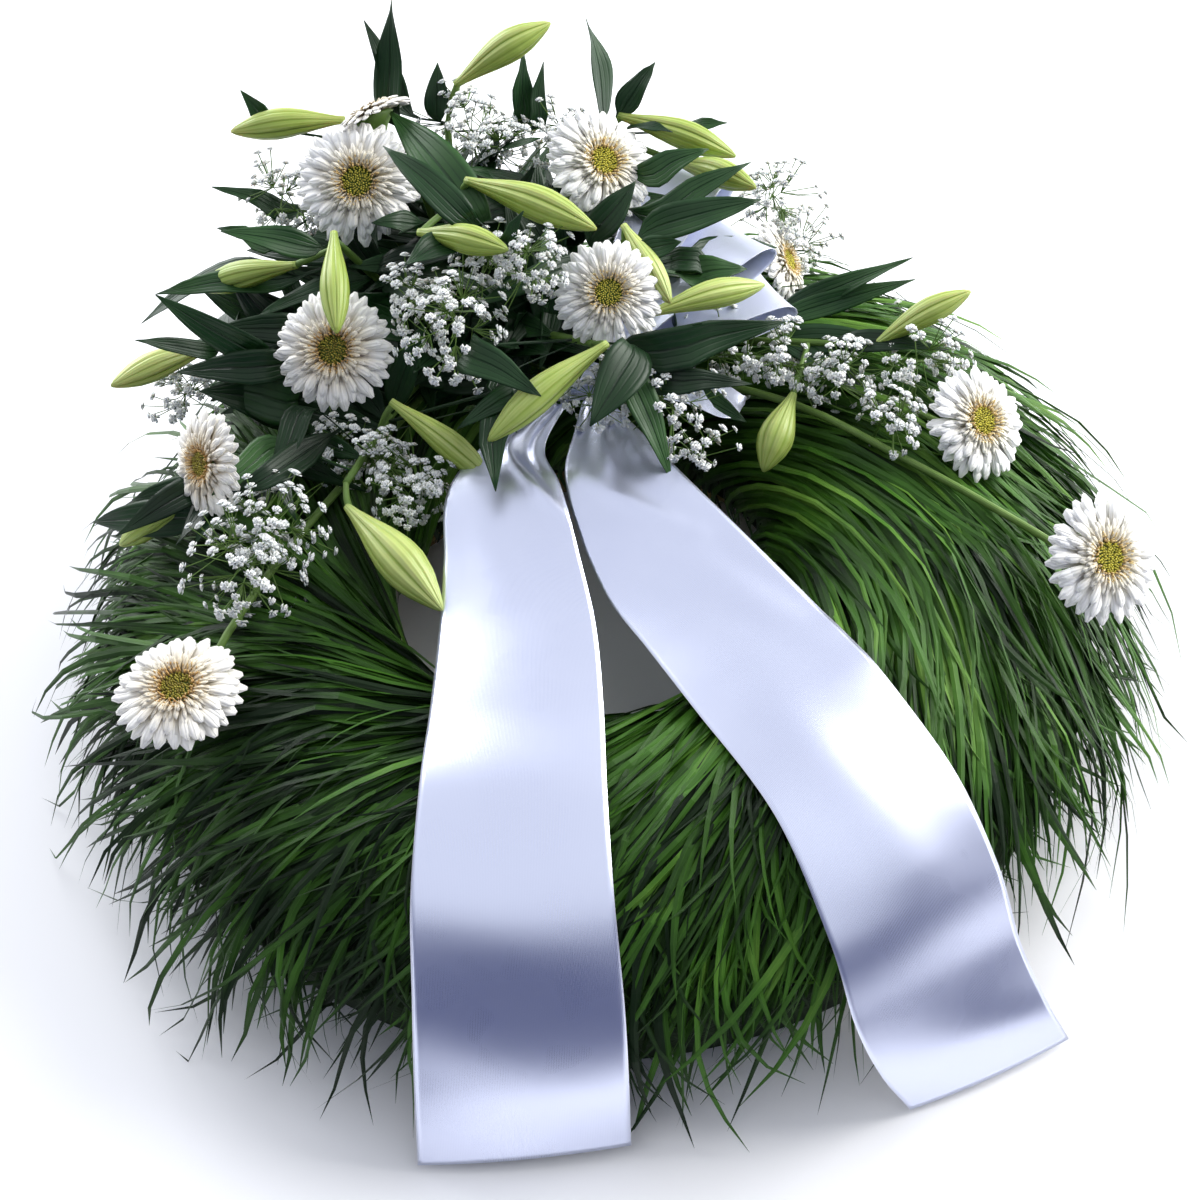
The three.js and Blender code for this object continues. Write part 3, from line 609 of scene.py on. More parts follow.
# The ribbon is satin 150 mm wide. Rows run from the knot to the cut end, as left and right edge in mm.
ribbon = {
    "width": 0.15,
    "thickness": 0.0005,
    "columns": 32,
    "press": 0.04,  # the grass starts to bend this far beside the ribbon
    "bow": 0.03,  # how far a row rises in its middle, as a share of its width
    "gathered": 0.30,  # the share of the length that the gathers at the knot run into
    "knot": (-4, 100, 250),
    "radii": (27, 16, 15),
    "tail": {"count": 150, "folds": 0.0016},  # rows along the piece, and depth of the gathers in metres
    "loop": {"count": 72, "folds": 0.002},
    "end": {"count": 40, "folds": 0.002},
}
tails = {
    "ribbon_tail_left": [
        [(-32, 78, 244), (-10, 80, 247)],
        [(-85, 38, 240), (-32, 32, 243)],
        [(-112, -5, 236), (-22, -10, 240)],
        [(-117, -60, 222), (-12, -75, 224)],
        [(-123, -120, 211), (-5, -138, 214)],
        [(-132, -195, 205), (-5, -212, 206)],
        [(-142, -268, 201), (-8, -286, 202)],
        [(-153, -338, 168), (-10, -358, 168)],
        [(-159, -388, 116), (-10, -408, 120)],
        [(-165, -424, 62), (-12, -440, 72)],
        [(-170, -455, 6), (-15, -458, 12)],
    ],
    "ribbon_tail_right": [
        [(2, 80, 247), (24, 78, 244)],
        [(-8, 45, 243), (50, 35, 240)],
        [(-18, 5, 238), (80, -15, 236)],
        [(-12, -45, 226), (118, -72, 226)],
        [(5, -105, 212), (160, -132, 212)],
        [(31, -158, 208), (180, -165, 210)],
        [(63, -225, 205), (202, -205, 206)],
        [(108, -313, 192), (242, -274, 174)],
        [(136, -386, 142), (268, -325, 124)],
        [(149, -423, 90), (281, -360, 74)],
        [(166, -442, 48), (297, -389, 38)],
        [(188, -448, 5), (313, -402, 5)],
    ],
}
loops = {
    "bow_loop_back": {"end": (118, 292, 308), "height": 34, "width": 74},
    "bow_loop_middle": {"end": (152, 222, 288), "height": 32, "width": 70},
    "bow_loop_front": {"end": (172, 176, 262), "height": 28, "width": 64},
}
bowEnd = [
    [(18, 104, 245), (26, 92, 243)],
    [(70, 112, 240), (80, 78, 236)],
    [(112, 108, 230), (118, 66, 224)],
    [(136, 98, 216), (134, 92, 214)],
]
# Creases run over a tail between two places, each across (-1 to 1) and along (0 to 1), and have a height
# and a half width in metres.
creases = {
    "ribbon_tail_left": [
        ((-0.35, 0.07), (1.0, 0.205), 0.0042, 0.011),
        ((0.1, 0.04), (0.75, 0.15), -0.0022, 0.008),
        ((-0.9, 0.06), (-0.2, 0.30), 0.0016, 0.022),
    ],
    "ribbon_tail_right": [
        ((-0.7, 0.12), (0.5, 0.24), 0.0030, 0.013),
        ((0.5, 0.24), (0.9, 0.40), -0.0018, 0.018),
        ((-0.1, 0.33), (0.45, 0.46), -0.0020, 0.024),
        ((-0.3, 0.50), (0.1, 0.72), 0.0022, 0.026),
    ],
}


def creased(across, share, run, lines):
    place = np.stack(np.broadcast_arrays(across * ribbon["width"] / 2, share * run), -1)
    lift = np.zeros(place.shape[:2])
    for first, last, height, half in lines:
        a, b = (np.array([u * ribbon["width"] / 2, v * run]) for u, v in (first, last))
        reach = np.clip((place - a) @ (b - a) / ((b - a) @ (b - a)), 0, 1)
        away = np.linalg.norm(place - a - reach[..., None] * (b - a), axis=-1)
        fade = 0.35 + 0.65 * np.sin(math.pi * (0.15 + 0.7 * reach))
        lift = lift + height * np.exp(-((away / half) ** 2)) * fade
    return lift[..., None]


def satinGrid(rows, count, folds, lines=()):
    left, right = (spline([Vector(row[side]) * mm for row in rows], count) for side in (0, 1))
    across = np.linspace(-1, 1, ribbon["columns"] + 1)[None, :]
    share = np.linspace(0, 1, count)[:, None]
    middle, half = (left + right)[:, None] / 2, (right - left)[:, None] / 2
    run = stepsOf((left + right) / 2).sum()
    forward = unit(np.gradient((left + right) / 2, axis=0))
    normal = unit(np.cross(unit(right - left), forward))[:, None]
    width = np.linalg.norm(right - left, axis=1)[:, None]
    gather = np.clip(1 - share / ribbon["gathered"], 0, 1) ** 1.5
    drape = 0.0005 * np.sin(share * 19 + across * 1.7) + 0.0002 * np.sin(share * 43 - across * 3.1 + 1)
    pleats = np.cos(across * math.pi * 2.4 + 0.6 + share * 3)
    lift = ribbon["bow"] * width * (1 - across**2) + folds * gather * pleats * (1 - 0.3 * across**2)
    lift = (lift + drape * np.clip(share * 6, 0, 1))[..., None] + creased(across, share, run, lines)
    return middle + half * across[..., None] - normal * lift


def gridMesh(name, grid):
    rows, columns = grid.shape[:2]
    corners = [i * columns + j for i in range(rows - 1) for j in range(columns - 1)]
    faces = [(k, k + columns, k + columns + 1, k + 1) for k in corners]
    return newMesh(name, grid.reshape(-1, 3), faces)


def satinPiece(node, grid, look="bow"):
    rows, columns = grid.shape[:2]
    mesh = gridMesh(node + "_satin", grid)
    mesh.materials.append(looks[look])
    mesh.polygons.foreach_set("use_smooth", [True] * len(mesh.polygons))
    marks = marksOf(grid, np.linspace(-1, 1, columns), np.linspace(0, 1, rows)[:, None])
    addAttribute(mesh, "mark", "FLOAT_VECTOR", marks)
    piece = showMesh(node + "_satin", mesh)
    skin = piece.modifiers.new("cloth", "SOLIDIFY")
    skin.thickness, skin.offset = ribbon["thickness"], 0
    settle(piece, "ribbon", node)
    return piece, float(stepsOf(grid[:, columns // 2]).sum())


def loopRows(loop):  # out from the knot along the upper side and back along the lower side
    start, end = Vector(ribbon["knot"]).lerp(Vector(loop["end"]), 0.2), Vector(loop["end"])
    length = end - start
    across = Vector((length.y, -length.x, 0)).normalized()
    rise = across.cross(length).normalized()
    rows = []
    steps, gap = 16, 1.6
    for i in range(steps + 1):
        angle = math.pi * (1 - 2 * i / steps)
        reach = (1 + math.cos(angle)) / 2
        apart = gap if i < steps / 2 else -gap
        lift = math.sin(angle) * (0.25 + 0.75 * reach) * loop["height"] / 2 + apart
        centre = start + length * reach + rise * lift
        half = across * loop["width"] / 2 * (0.22 + 0.78 * math.sqrt(reach))
        rows.append([centre - half, centre + half])
    return rows


def makeCover(grid):  # a little wider than the ribbon, so the grass bends before it gets under it
    middle, half = (grid[:, :1] + grid[:, -1:]) / 2, (grid[:, -1:] - grid[:, :1]) / 2
    reach = 1 + ribbon["press"] / np.linalg.norm(half, axis=2, keepdims=True)
    wide = np.concatenate([middle - half * reach, grid[:, 1:-1], middle + half * reach], 1)
    ending = wide[-1] - wide[-2]
    wide[-1] += ending * ribbon["press"] / np.linalg.norm(ending, axis=1, keepdims=True)
    return showMesh("cover", gridMesh("cover", wide))


def makeRibbons():
    covers = []
    for name, rows in tails.items():
        grid = satinGrid(rows, **ribbon["tail"], lines=creases[name])
        piece, run = satinPiece(name, grid, "satin")
        covers.append(makeCover(grid))
    for name, loop in loops.items():
        piece, run = satinPiece(name, satinGrid(loopRows(loop), **ribbon["loop"]))
    piece, run = satinPiece("bow_end", satinGrid(bowEnd, **ribbon["end"]))
    print("ribbons laid")
    return covers


def makeKnot():  # satin wrapped round and gathered, so pleats run over it from end to end
    bench = Bench("satin", "stem")
    centre, radii = np.array(ribbon["knot"]) * mm, np.array(ribbon["radii"]) * mm
    rings, sides = 28, 96
    angles = roundTurn(sides)
    made = []
    for i in range(rings):
        tilt = math.pi * (i + 0.35) / (rings - 0.3)
        waist = 1 + 0.16 * abs(math.cos(tilt)) ** 3
        pleat = 1 + 0.085 * np.abs(np.sin(angles * 4.5 + 0.8 * math.cos(tilt))) - 0.05
        out = math.sin(tilt) ** 0.7 * waist * pleat
        x = np.full(sides, -math.cos(tilt)) * radii[0] * 1.02
        y, z = out * np.cos(-angles) * radii[1], out * np.sin(-angles) * radii[2]
        made.append(np.stack([x, y, z], 1) + centre)
    marks = marksOf(made, np.sin(angles) * 0.9, (np.arange(rings) / rings)[:, None])
    bench.loft(np.array(made)[:, ::-1], "satin", marks[:, ::-1])
    addRod(bench, [centre, np.array(footOf(ribbon["knot"])) * mm], 1.5 * mm, 1.5 * mm, 0.3, 6, 4)
    settle(bench.make("ribbon_knot_satin"), "ribbon", "ribbon_knot")


coverTails = makeRibbons()
makeKnot()


# The grass lies over the straw on one profile, from the root inside the hole to the tips on the ground.
grass = {
    "profile": [
        (160, 70), (166, 124), (192, 172), (240, 195), (300, 190), (350, 165), (396, 122), (430, 74),
        (450, 30), (466, 8), (486, 5),
    ],
    "straw": (280, 62),  # middle of the straw's section
    "reach": 489,  # no blade goes further out
    "lowest": 4,
    "bunches": 12,
    "blades": 550,
    "segments": 11,
    "tuft": 8,  # blades that lie together
    "lean": 1.15,  # how far blades lie off the radius over the crest
    "leanChange": 0.35,  # and how much that changes round the ring
    "leanMost": 50,
    "leanFall": 1.6,  # how fast the blades turn outwards as they leave the hole
    "crest": 300,
    "turn": -0.534,  # from where a bunch is bound to where it passes the crest
    "width": (3.9, 8.2),
    "taper": [(0, 0.5), (0.15, 0.85), (0.4, 1.0), (0.7, 0.84), (0.9, 0.45), (1, 0.03)],
    "length": (200, 305),
    "depth": -24,  # a root is bound in under its neighbours
    "free": (0.012, 0.09),  # from this far beside a ribbon, and over this width, blades come to rise freely
    "paintedShade": {"towards": 225, "by": 0.6},  # painted shade: blades darker towards their tips on the side away from the window
    "thicker": {"most": 38, "towards": -5, "inside": 270, "fade": 100},  # inside the hole on the right
}


def profileCurves(points):  # radius and height against the share of the profile's length
    points = np.array(points, float)
    run = np.concatenate([[0], np.cumsum(stepsOf(points))])
    radii, heights = (list(zip(run / run[-1], points[:, k] / 1000)) for k in (0, 1))
    return radii, heights, run[-1] / 1000


def coverOf(flow):
    cover = flow.node("GeometryNodeJoinGeometry")
    for tail in coverTails:
        shown = flow.node("GeometryNodeObjectInfo", {"Object": tail}, "Geometry")
        feed(flow.tree, cover.socket.node.inputs[0], shown)
    return cover


def freedom(flow, cover, here):  # 0 beside a ribbon, 1 where a blade may rise
    inputs = {0: cover, "Source Position": here}
    away = flow.node("GeometryNodeProximity", inputs, "Distance", target_element="FACES")
    return ((away - grass["free"][0]) / grass["free"][1]).clipped()


def pressed(flow, cover, here, outside):  # a point that would stand over a ribbon goes just under it
    cast = flow.node(
        "GeometryNodeRaycast",
        {
            "Target Geometry": cover,
            "Source Position": here.plus(outside.scaled(0.005)),
            "Ray Direction": outside.scaled(-1.0),
            "Ray Length": 0.12,
        },
        "Hit Position",
    )
    isHit = Field(flow.tree, cast.socket.node.outputs["Is Hit"])
    choice = {"Switch": isHit, "False": here, "True": cast.plus(outside.scaled(-0.007))}
    return flow.node("GeometryNodeSwitch", choice, input_type="VECTOR")


def grassTree():
    radii, heights, whole = profileCurves(grass["profile"])
    flow = Growth("grassBunch", {"Blades": 100, "From": 0.0, "Span": 0.5, "Seed": 1})
    mesh, blade, x, y, along = flow.rods(flow.size("Blades"), 3, grass["segments"])
    cover = coverOf(flow)
    tuft = (blade / grass["tuft"]).calc("FLOOR")
    ringRadius, ringHeight = (v * mm for v in grass["straw"])
    crest, fall = grass["crest"] * mm, grass["leanFall"]
    thicker, paintedShade = grass["thicker"], grass["paintedShade"]

    root = flow.draw(-0.012, 0.185, tuft, 1) + flow.draw(-0.025, 0.025, blade, 2)
    length = flow.draw(*(v * mm for v in grass["length"]), blade, 3)
    bound = flow.size("From") + flow.size("Span") * flow.draw(0.0, 1.0, tuft, 4)
    spread = flow.draw(-0.055, 0.055, blade, 5)
    stray = flow.draw(-0.16, 0.16, tuft, 6) + flow.draw(-0.09, 0.09, blade, 7)
    layer = flow.draw(-0.017, 0.006, tuft, 8) + flow.draw(-0.006, 0.005, blade, 9)
    rise = flow.draw(-0.004, 0.014, tuft, 10)
    fly = (flow.draw(0.0, 1.0, blade, 11) ** 4.0) * 0.062
    wild = (flow.draw(-1.0, 1.0, blade, 12) ** 3.0) * 0.24
    curl = (flow.draw(-1.0, 1.0, blade, 18) ** 3.0) * 0.20 + flow.draw(-0.05, 0.05, tuft, 19)
    sway = flow.draw(-0.011, 0.011, blade, 13)
    wide = flow.draw(*(v * mm for v in grass["width"]), blade, 14)
    roll = flow.draw(-1.1, 1.1, blade, 15)
    tone = flow.draw(0.05, 0.7, tuft, 16) + flow.draw(-0.25, 0.35, blade, 17)
    lean = (bound - math.radians(grass["leanMost"])).cos() * grass["leanChange"] + grass["lean"]

    def at(reach, turn, height):
        return flow.join(reach * turn.cos(), reach * turn.sin(), height)

    def trail(share):  # the blade's middle line
        run = root + length * share
        reach = (run / whole).curve(radii)
        height = (run / whole).curve(heights)
        outward, upward = reach - ringRadius, height - ringHeight
        distance = (outward * outward + upward * upward) ** 0.5
        turn = bound + spread * (share * -0.5 + 1) + grass["turn"]
        turn = turn + lean / fall * ((reach / crest) ** -fall - 1)
        turn = turn + (stray + wild * share) * share + curl * share**4.0
        turn = turn + sway / reach * (share * 5).sin()
        beside = (turn - math.radians(thicker["towards"])).cos().atLeast(0.0) ** 2.0
        inner = ((reach * -1000 + thicker["inside"]) / thicker["fade"]).clipped()
        reach = reach - beside * inner * thicker["most"] * mm
        arch = share * share * (share * -1 + 1.7)
        bedded = (share * -1 + 1) * (share * -1 + 1) * grass["depth"] * mm
        lift = layer + bedded + (rise + fly) * arch * freedom(flow, cover, at(reach, turn, height))
        reach = (reach + outward / distance * lift).atMost(grass["reach"] * mm)
        height = (height + upward / distance * lift).atLeast(grass["lowest"] * mm)
        return at(reach, turn, height), outward, upward, turn

    here, outward, upward, turn = trail(along)
    ahead = trail(along + 0.02)[0]
    forward = ahead.vector("SUBTRACT", here).vector("NORMALIZE")
    outside = at(outward, turn, upward).vector("NORMALIZE")
    here = pressed(flow, cover, here, outside)
    side = forward.vector("CROSS_PRODUCT", outside).vector("NORMALIZE")
    lift = side.vector("CROSS_PRODUCT", forward)
    bend = roll * (along * 0.85 + 0.15)
    turnedSide = side.scaled(bend.cos()).plus(lift.scaled(bend.sin()))
    turnedLift = lift.scaled(bend.cos()).plus(side.scaled(bend.sin() * -1))
    half = wide * along.curve(grass["taper"]) * 0.5
    across = y / 0.866
    ridge = (x + 0.5) / 1.5 * half * 0.22
    place = here.plus(turnedSide.scaled(across * half)).plus(turnedLift.scaled(ridge))
    # Painted shade: blades on the side away from the window grow darker towards their tips.
    awayFromWindow = (turn - math.radians(paintedShade["towards"])).cos() * 0.7 + 0.3
    dark = awayFromWindow.atLeast(0.0) * along * (along * 0.8 + 0.2) * paintedShade["by"]
    mark = flow.join(along, across, tone - dark)
    flow.finish(flow.shape(mesh, place, mark, looks["grass"], smooth=False))
    return flow


def makeGrass():
    flow = grassTree()
    share = 2 * math.pi / grass["bunches"]
    for i in range(grass["bunches"]):
        name = "grass_bunch_%02d" % (i + 1)
        sizes = {"Blades": grass["blades"], "From": i * share, "Span": share, "Seed": 40 * i + 3}
        piece = showMesh(name + "_blades", flow.grow(name + "_blades", sizes))
        settle(piece, "grass", name)
    for cover in coverTails:
        bpy.data.objects.remove(cover)
    print("grass grown")


# The shade mat is a dark closed layer that wraps the straw just inside the blades: a painted-shade sheet that
# stands for the dark depths between them.
mat = {"sink": 28, "wrap": 81.5, "lowest": 50, "foot": [(384, 4), (372, 4), (356, 30)], "turns": 144}


def makeShadeMat():
    ringRadius, ringHeight = grass["straw"]
    outer = []
    for reach, height in grass["profile"]:
        if height > mat["lowest"]:
            away = Vector((reach - ringRadius, height - ringHeight))
            inner = away - away.normalized() * mat["sink"]
            outer.append((ringRadius + inner.x, ringHeight + inner.y))
    inside = [
        (ringRadius + mat["wrap"] * math.cos(a), ringHeight + mat["wrap"] * math.sin(a))
        for a in np.linspace(0, math.pi, 9)
    ]
    reach, height = np.array(outer + mat["foot"] + inside).T
    thicker = grass["thicker"]
    inner = np.clip((thicker["inside"] - reach) / thicker["fade"], 0, 1) * (height > mat["lowest"])
    rings = []
    for angle in np.linspace(0, -2 * math.pi, mat["turns"] + 1):
        beside = max(0, math.cos(angle - math.radians(thicker["towards"]))) ** 2
        near = (reach - beside * inner * thicker["most"]) * mm
        rings.append(np.stack([near * math.cos(angle), near * math.sin(angle), height * mm], 1))
    bench = Bench("mat")
    bench.loft(rings, "mat", marksOf(rings))
    settle(bench.make("grass_underlayer"), "grass")


viewed = (0, -0.68, 0.73)  # towards someone standing before the wreath
gerberas = {  # cream: how far the petals are from white, heart: how far the middle is from yellow to brown; both are set higher on the flowers to the left, away from the window
    "gerbera_back_left": {
        "at": (-150, 300, 386), "faces": (-0.35, 0.6, 0.72), "radius": 36, "cream": 0.8, "heart": 0.5,
        "via": [(-118, 288, 322)],
    },
    "gerbera_top_left": {
        "at": (-165, 245, 360), "faces": viewed, "radius": 52, "cream": 0.15, "heart": 0.25
    },
    "gerbera_top_right": {
        "at": (35, 260, 345), "faces": (0.45, -0.5, 0.74), "radius": 50, "cream": 0.0, "heart": 0.0
    },
    "gerbera_centre": {"at": (30, 115, 325), "faces": viewed, "radius": 45, "cream": 0.05, "heart": 0.05},
    "gerbera_left": {
        "at": (-190, 95, 310), "faces": (-0.1, -0.66, 0.73), "radius": 49, "cream": 0.55, "heart": 0.75
    },
    "gerbera_far_left": {
        "at": (-295, 20, 272), "faces": (-0.72, -0.5, 0.48), "radius": 43, "cream": 0.9, "heart": 0.9
    },
    "gerbera_ring_right": {
        "at": (315, 35, 222), "faces": (0.5, -0.5, 0.7), "radius": 48, "cream": 0.0, "heart": 0.05,
        "via": [(150, 142, 218), (245, 88, 212)],
    },
    "gerbera_ring_far_right": {
        "at": (385, -110, 205), "faces": (0.4, -0.6, 0.7), "radius": 51, "cream": 0.1, "heart": 0.1,
        "via": [(150, 100, 216), (250, 15, 212), (335, -58, 196)],
    },
    "gerbera_ring_left": {
        "at": (-320, -155, 205), "faces": (-0.05, -0.15, 0.98), "radius": 51, "cream": 0.6, "heart": 0.8,
        "via": [(-225, 0, 214), (-285, -95, 203)],
    },
    "gerbera_back_right": {
        "at": (185, 245, 235), "faces": (0.85, -0.2, 0.48), "radius": 40, "cream": 0.3, "heart": 0.2
    },
}
# Whorls of petals from the outside in: how many, then as shares of the head's radius how far they reach,
# where they start, half their width, the height of their foot, their rise and their droop, then their sides.
whorls = [
    (26, 1.00, 0.30, 0.118, 0.00, 0.05, 0.09, 6),
    (25, 0.94, 0.30, 0.108, 0.05, 0.07, 0.07, 6),
    (17, 0.80, 0.28, 0.090, 0.09, 0.08, 0.04, 6),
    (36, 0.60, 0.26, 0.046, 0.12, 0.06, 0.00, 4),
    (38, 0.49, 0.24, 0.038, 0.15, 0.06, -0.04, 4),
]
# Rings of florets inside them: how many, then as shares of the radius the inner and outer ring, the height
# of their foot, their length and thickness, then how far they lean out, and their look.
rings = [
    (70, 0.27, 0.36, 0.16, 0.10, 0.017, 0.5, "floret"),
    (48, 0.22, 0.27, 0.16, 0.08, 0.020, 0.2, "floret"),
    (120, 0.0, 0.235, 0.15, 0.05, 0.021, 0.0, "disc"),
]
petalWidth = [(0, 0.38), (0.25, 0.6), (0.55, 0.88), (0.8, 1.0), (0.93, 0.90), (0.98, 0.64), (1, 0.30)]
floretWidth = [(0, 0.8), (0.5, 0.9), (0.85, 1.25), (1, 0.6)]
calyx = [(-22, 3.2), (-17, 5), (-12, 9), (-7, 14), (-3, 18), (-1, 17), (0.5, 8)]  # height and radius
stalk = {"neck": 8, "straight": 26, "behind": 0.22, "foot": 3.6, "top": 3.0}
seat = {"sunk": 4, "beside": 16}  # a head on the ring presses the grass down this far under and beside it
hoopSides = 24


def headTree():  # a flower head at the origin, facing up
    flow = Growth("gerberaHead", {"Radius": 0.044, "Cream": 0.1, "Heart": 0.0, "Seed": 1})
    radius, cream, heart = flow.size("Radius"), flow.size("Cream"), flow.size("Heart")

    def petals(salt, count, reach, foot, half, base, rise, fall, sides):
        mesh, petal, x, y, along = flow.rods(count, sides, 6 if sides > 4 else 4)
        angle = petal * (2 * math.pi / count) + flow.draw(-0.06, 0.06, petal, salt) + salt
        long = radius * reach * flow.draw(0.94, 1.02, petal, salt + 1)
        tilt = flow.draw(-0.06, 0.06, petal, salt + 2)
        out = radius * foot + (long - radius * foot) * along
        wide = along.curve(petalWidth) * radius * half * flow.draw(0.86, 1.08, petal, salt + 3)
        crown = y * y * wide * -0.30
        height = (along * (math.pi * 0.8)).sin() * radius * rise - along**3.0 * radius * fall
        height = height + along * long * tilt + radius * base + crown + x * 0.0006
        aside = y * wide + flow.draw(-0.0016, 0.0016, petal, salt + 4) * along * along
        tone = cream * (along * -0.8 + 1.2) + flow.draw(-0.08, 0.08, petal, salt + 5)
        mark = flow.join(out / radius, y, tone)  # petals are shaded by their distance from the middle
        return flow.shape(mesh, flow.around(angle, out, aside, height), mark, looks["petal"])

    def florets(salt, count, low, high, base, tall, thick, lean, look):
        mesh, bud, x, y, along = flow.rods(count, 4, 2)
        share = (bud + 0.5) / count
        angle = bud * golden + flow.draw(-0.1, 0.1, bud, salt)
        ring = ((share * (high * high - low * low) + low * low) ** 0.5) * radius
        stands = radius * tall * flow.draw(0.75, 1.2, bud, salt + 1)
        swell = along.curve(floretWidth) * radius * thick
        out = ring + along * stands * lean + x * swell * -1
        height = radius * base + along * stands - ring * ring / radius * 0.25
        tone = flow.draw(0.0, 0.45, bud, salt + 2) + heart * 0.6
        place = flow.around(angle, out, y * swell * -1, height)
        return flow.shape(mesh, place, flow.join(along, y, tone), looks[look])

    flow.finish(
        *(petals(10 * number + 10, *whorl) for number, whorl in enumerate(whorls)),
        *(florets(10 * number + 70, *ring) for number, ring in enumerate(rings)),
    )
    return flow


def stemRoute(flower):
    at, faces = Vector(flower["at"]), Vector(flower["faces"]).normalized()
    neck = at - faces * stalk["neck"]
    if "via" in flower:
        return [footOf(flower["via"][0]), *flower["via"], at - faces * stalk["straight"], neck]
    behind = at - faces * stalk["behind"] * (at - Vector(foam["centre"])).length
    foot = footOf(behind)
    return [foot, foot.lerp(behind, 0.5), behind, neck]


def seatOf(flower, sunk=0):
    axis = Vector(flower["faces"]).normalized()
    turn = axis.to_track_quat("Z", "Y").to_matrix().to_4x4()
    return Matrix.Translation((Vector(flower["at"]) - axis * sunk) * mm) @ turn


def makeGerberas():
    flow = headTree()
    angles = roundTurn(hoopSides)
    for number, (name, flower) in enumerate(gerberas.items()):
        sizes = {"Radius": flower["radius"] * mm, "Cream": flower["cream"], "Heart": flower["heart"]}
        head = flow.grow(name + "_head", {**sizes, "Seed": 100 * number + 5})
        place = seatOf(flower)
        head.transform(place)
        bench = Bench("petal", "floret", "disc", "stem")
        bench.add(head)
        hoops = [
            [place @ Vector((r * mm * math.cos(a), r * mm * math.sin(a), z * mm)) for a in angles]
            for z, r in calyx
        ]
        bench.loft(hoops, "stem", marksOf(hoops, 0, np.sin(angles * 6), 0.5))
        route = [Vector(p) * mm for p in stemRoute(flower)]
        addRod(bench, route, stalk["foot"] * mm, stalk["top"] * mm, 0.75)
        settle(bench.make(name + "_flower"), "petal", name)
    print("gerberas made")


def makeSeat(flower):  # the grass bends under the heads that lie on it
    place = seatOf(flower, seat["sunk"])
    reach = (flower["radius"] + seat["beside"]) * mm
    points = [place @ Vector((reach * math.cos(a), reach * math.sin(a), 0)) for a in -roundTurn(hoopSides)]
    return showMesh("seat", newMesh("seat", points, [tuple(range(hoopSides))]))


makeGerberas()
coverTails.extend(makeSeat(flower) for name, flower in gerberas.items() if "_ring_" in name)
makeShadeMat()
makeGrass()


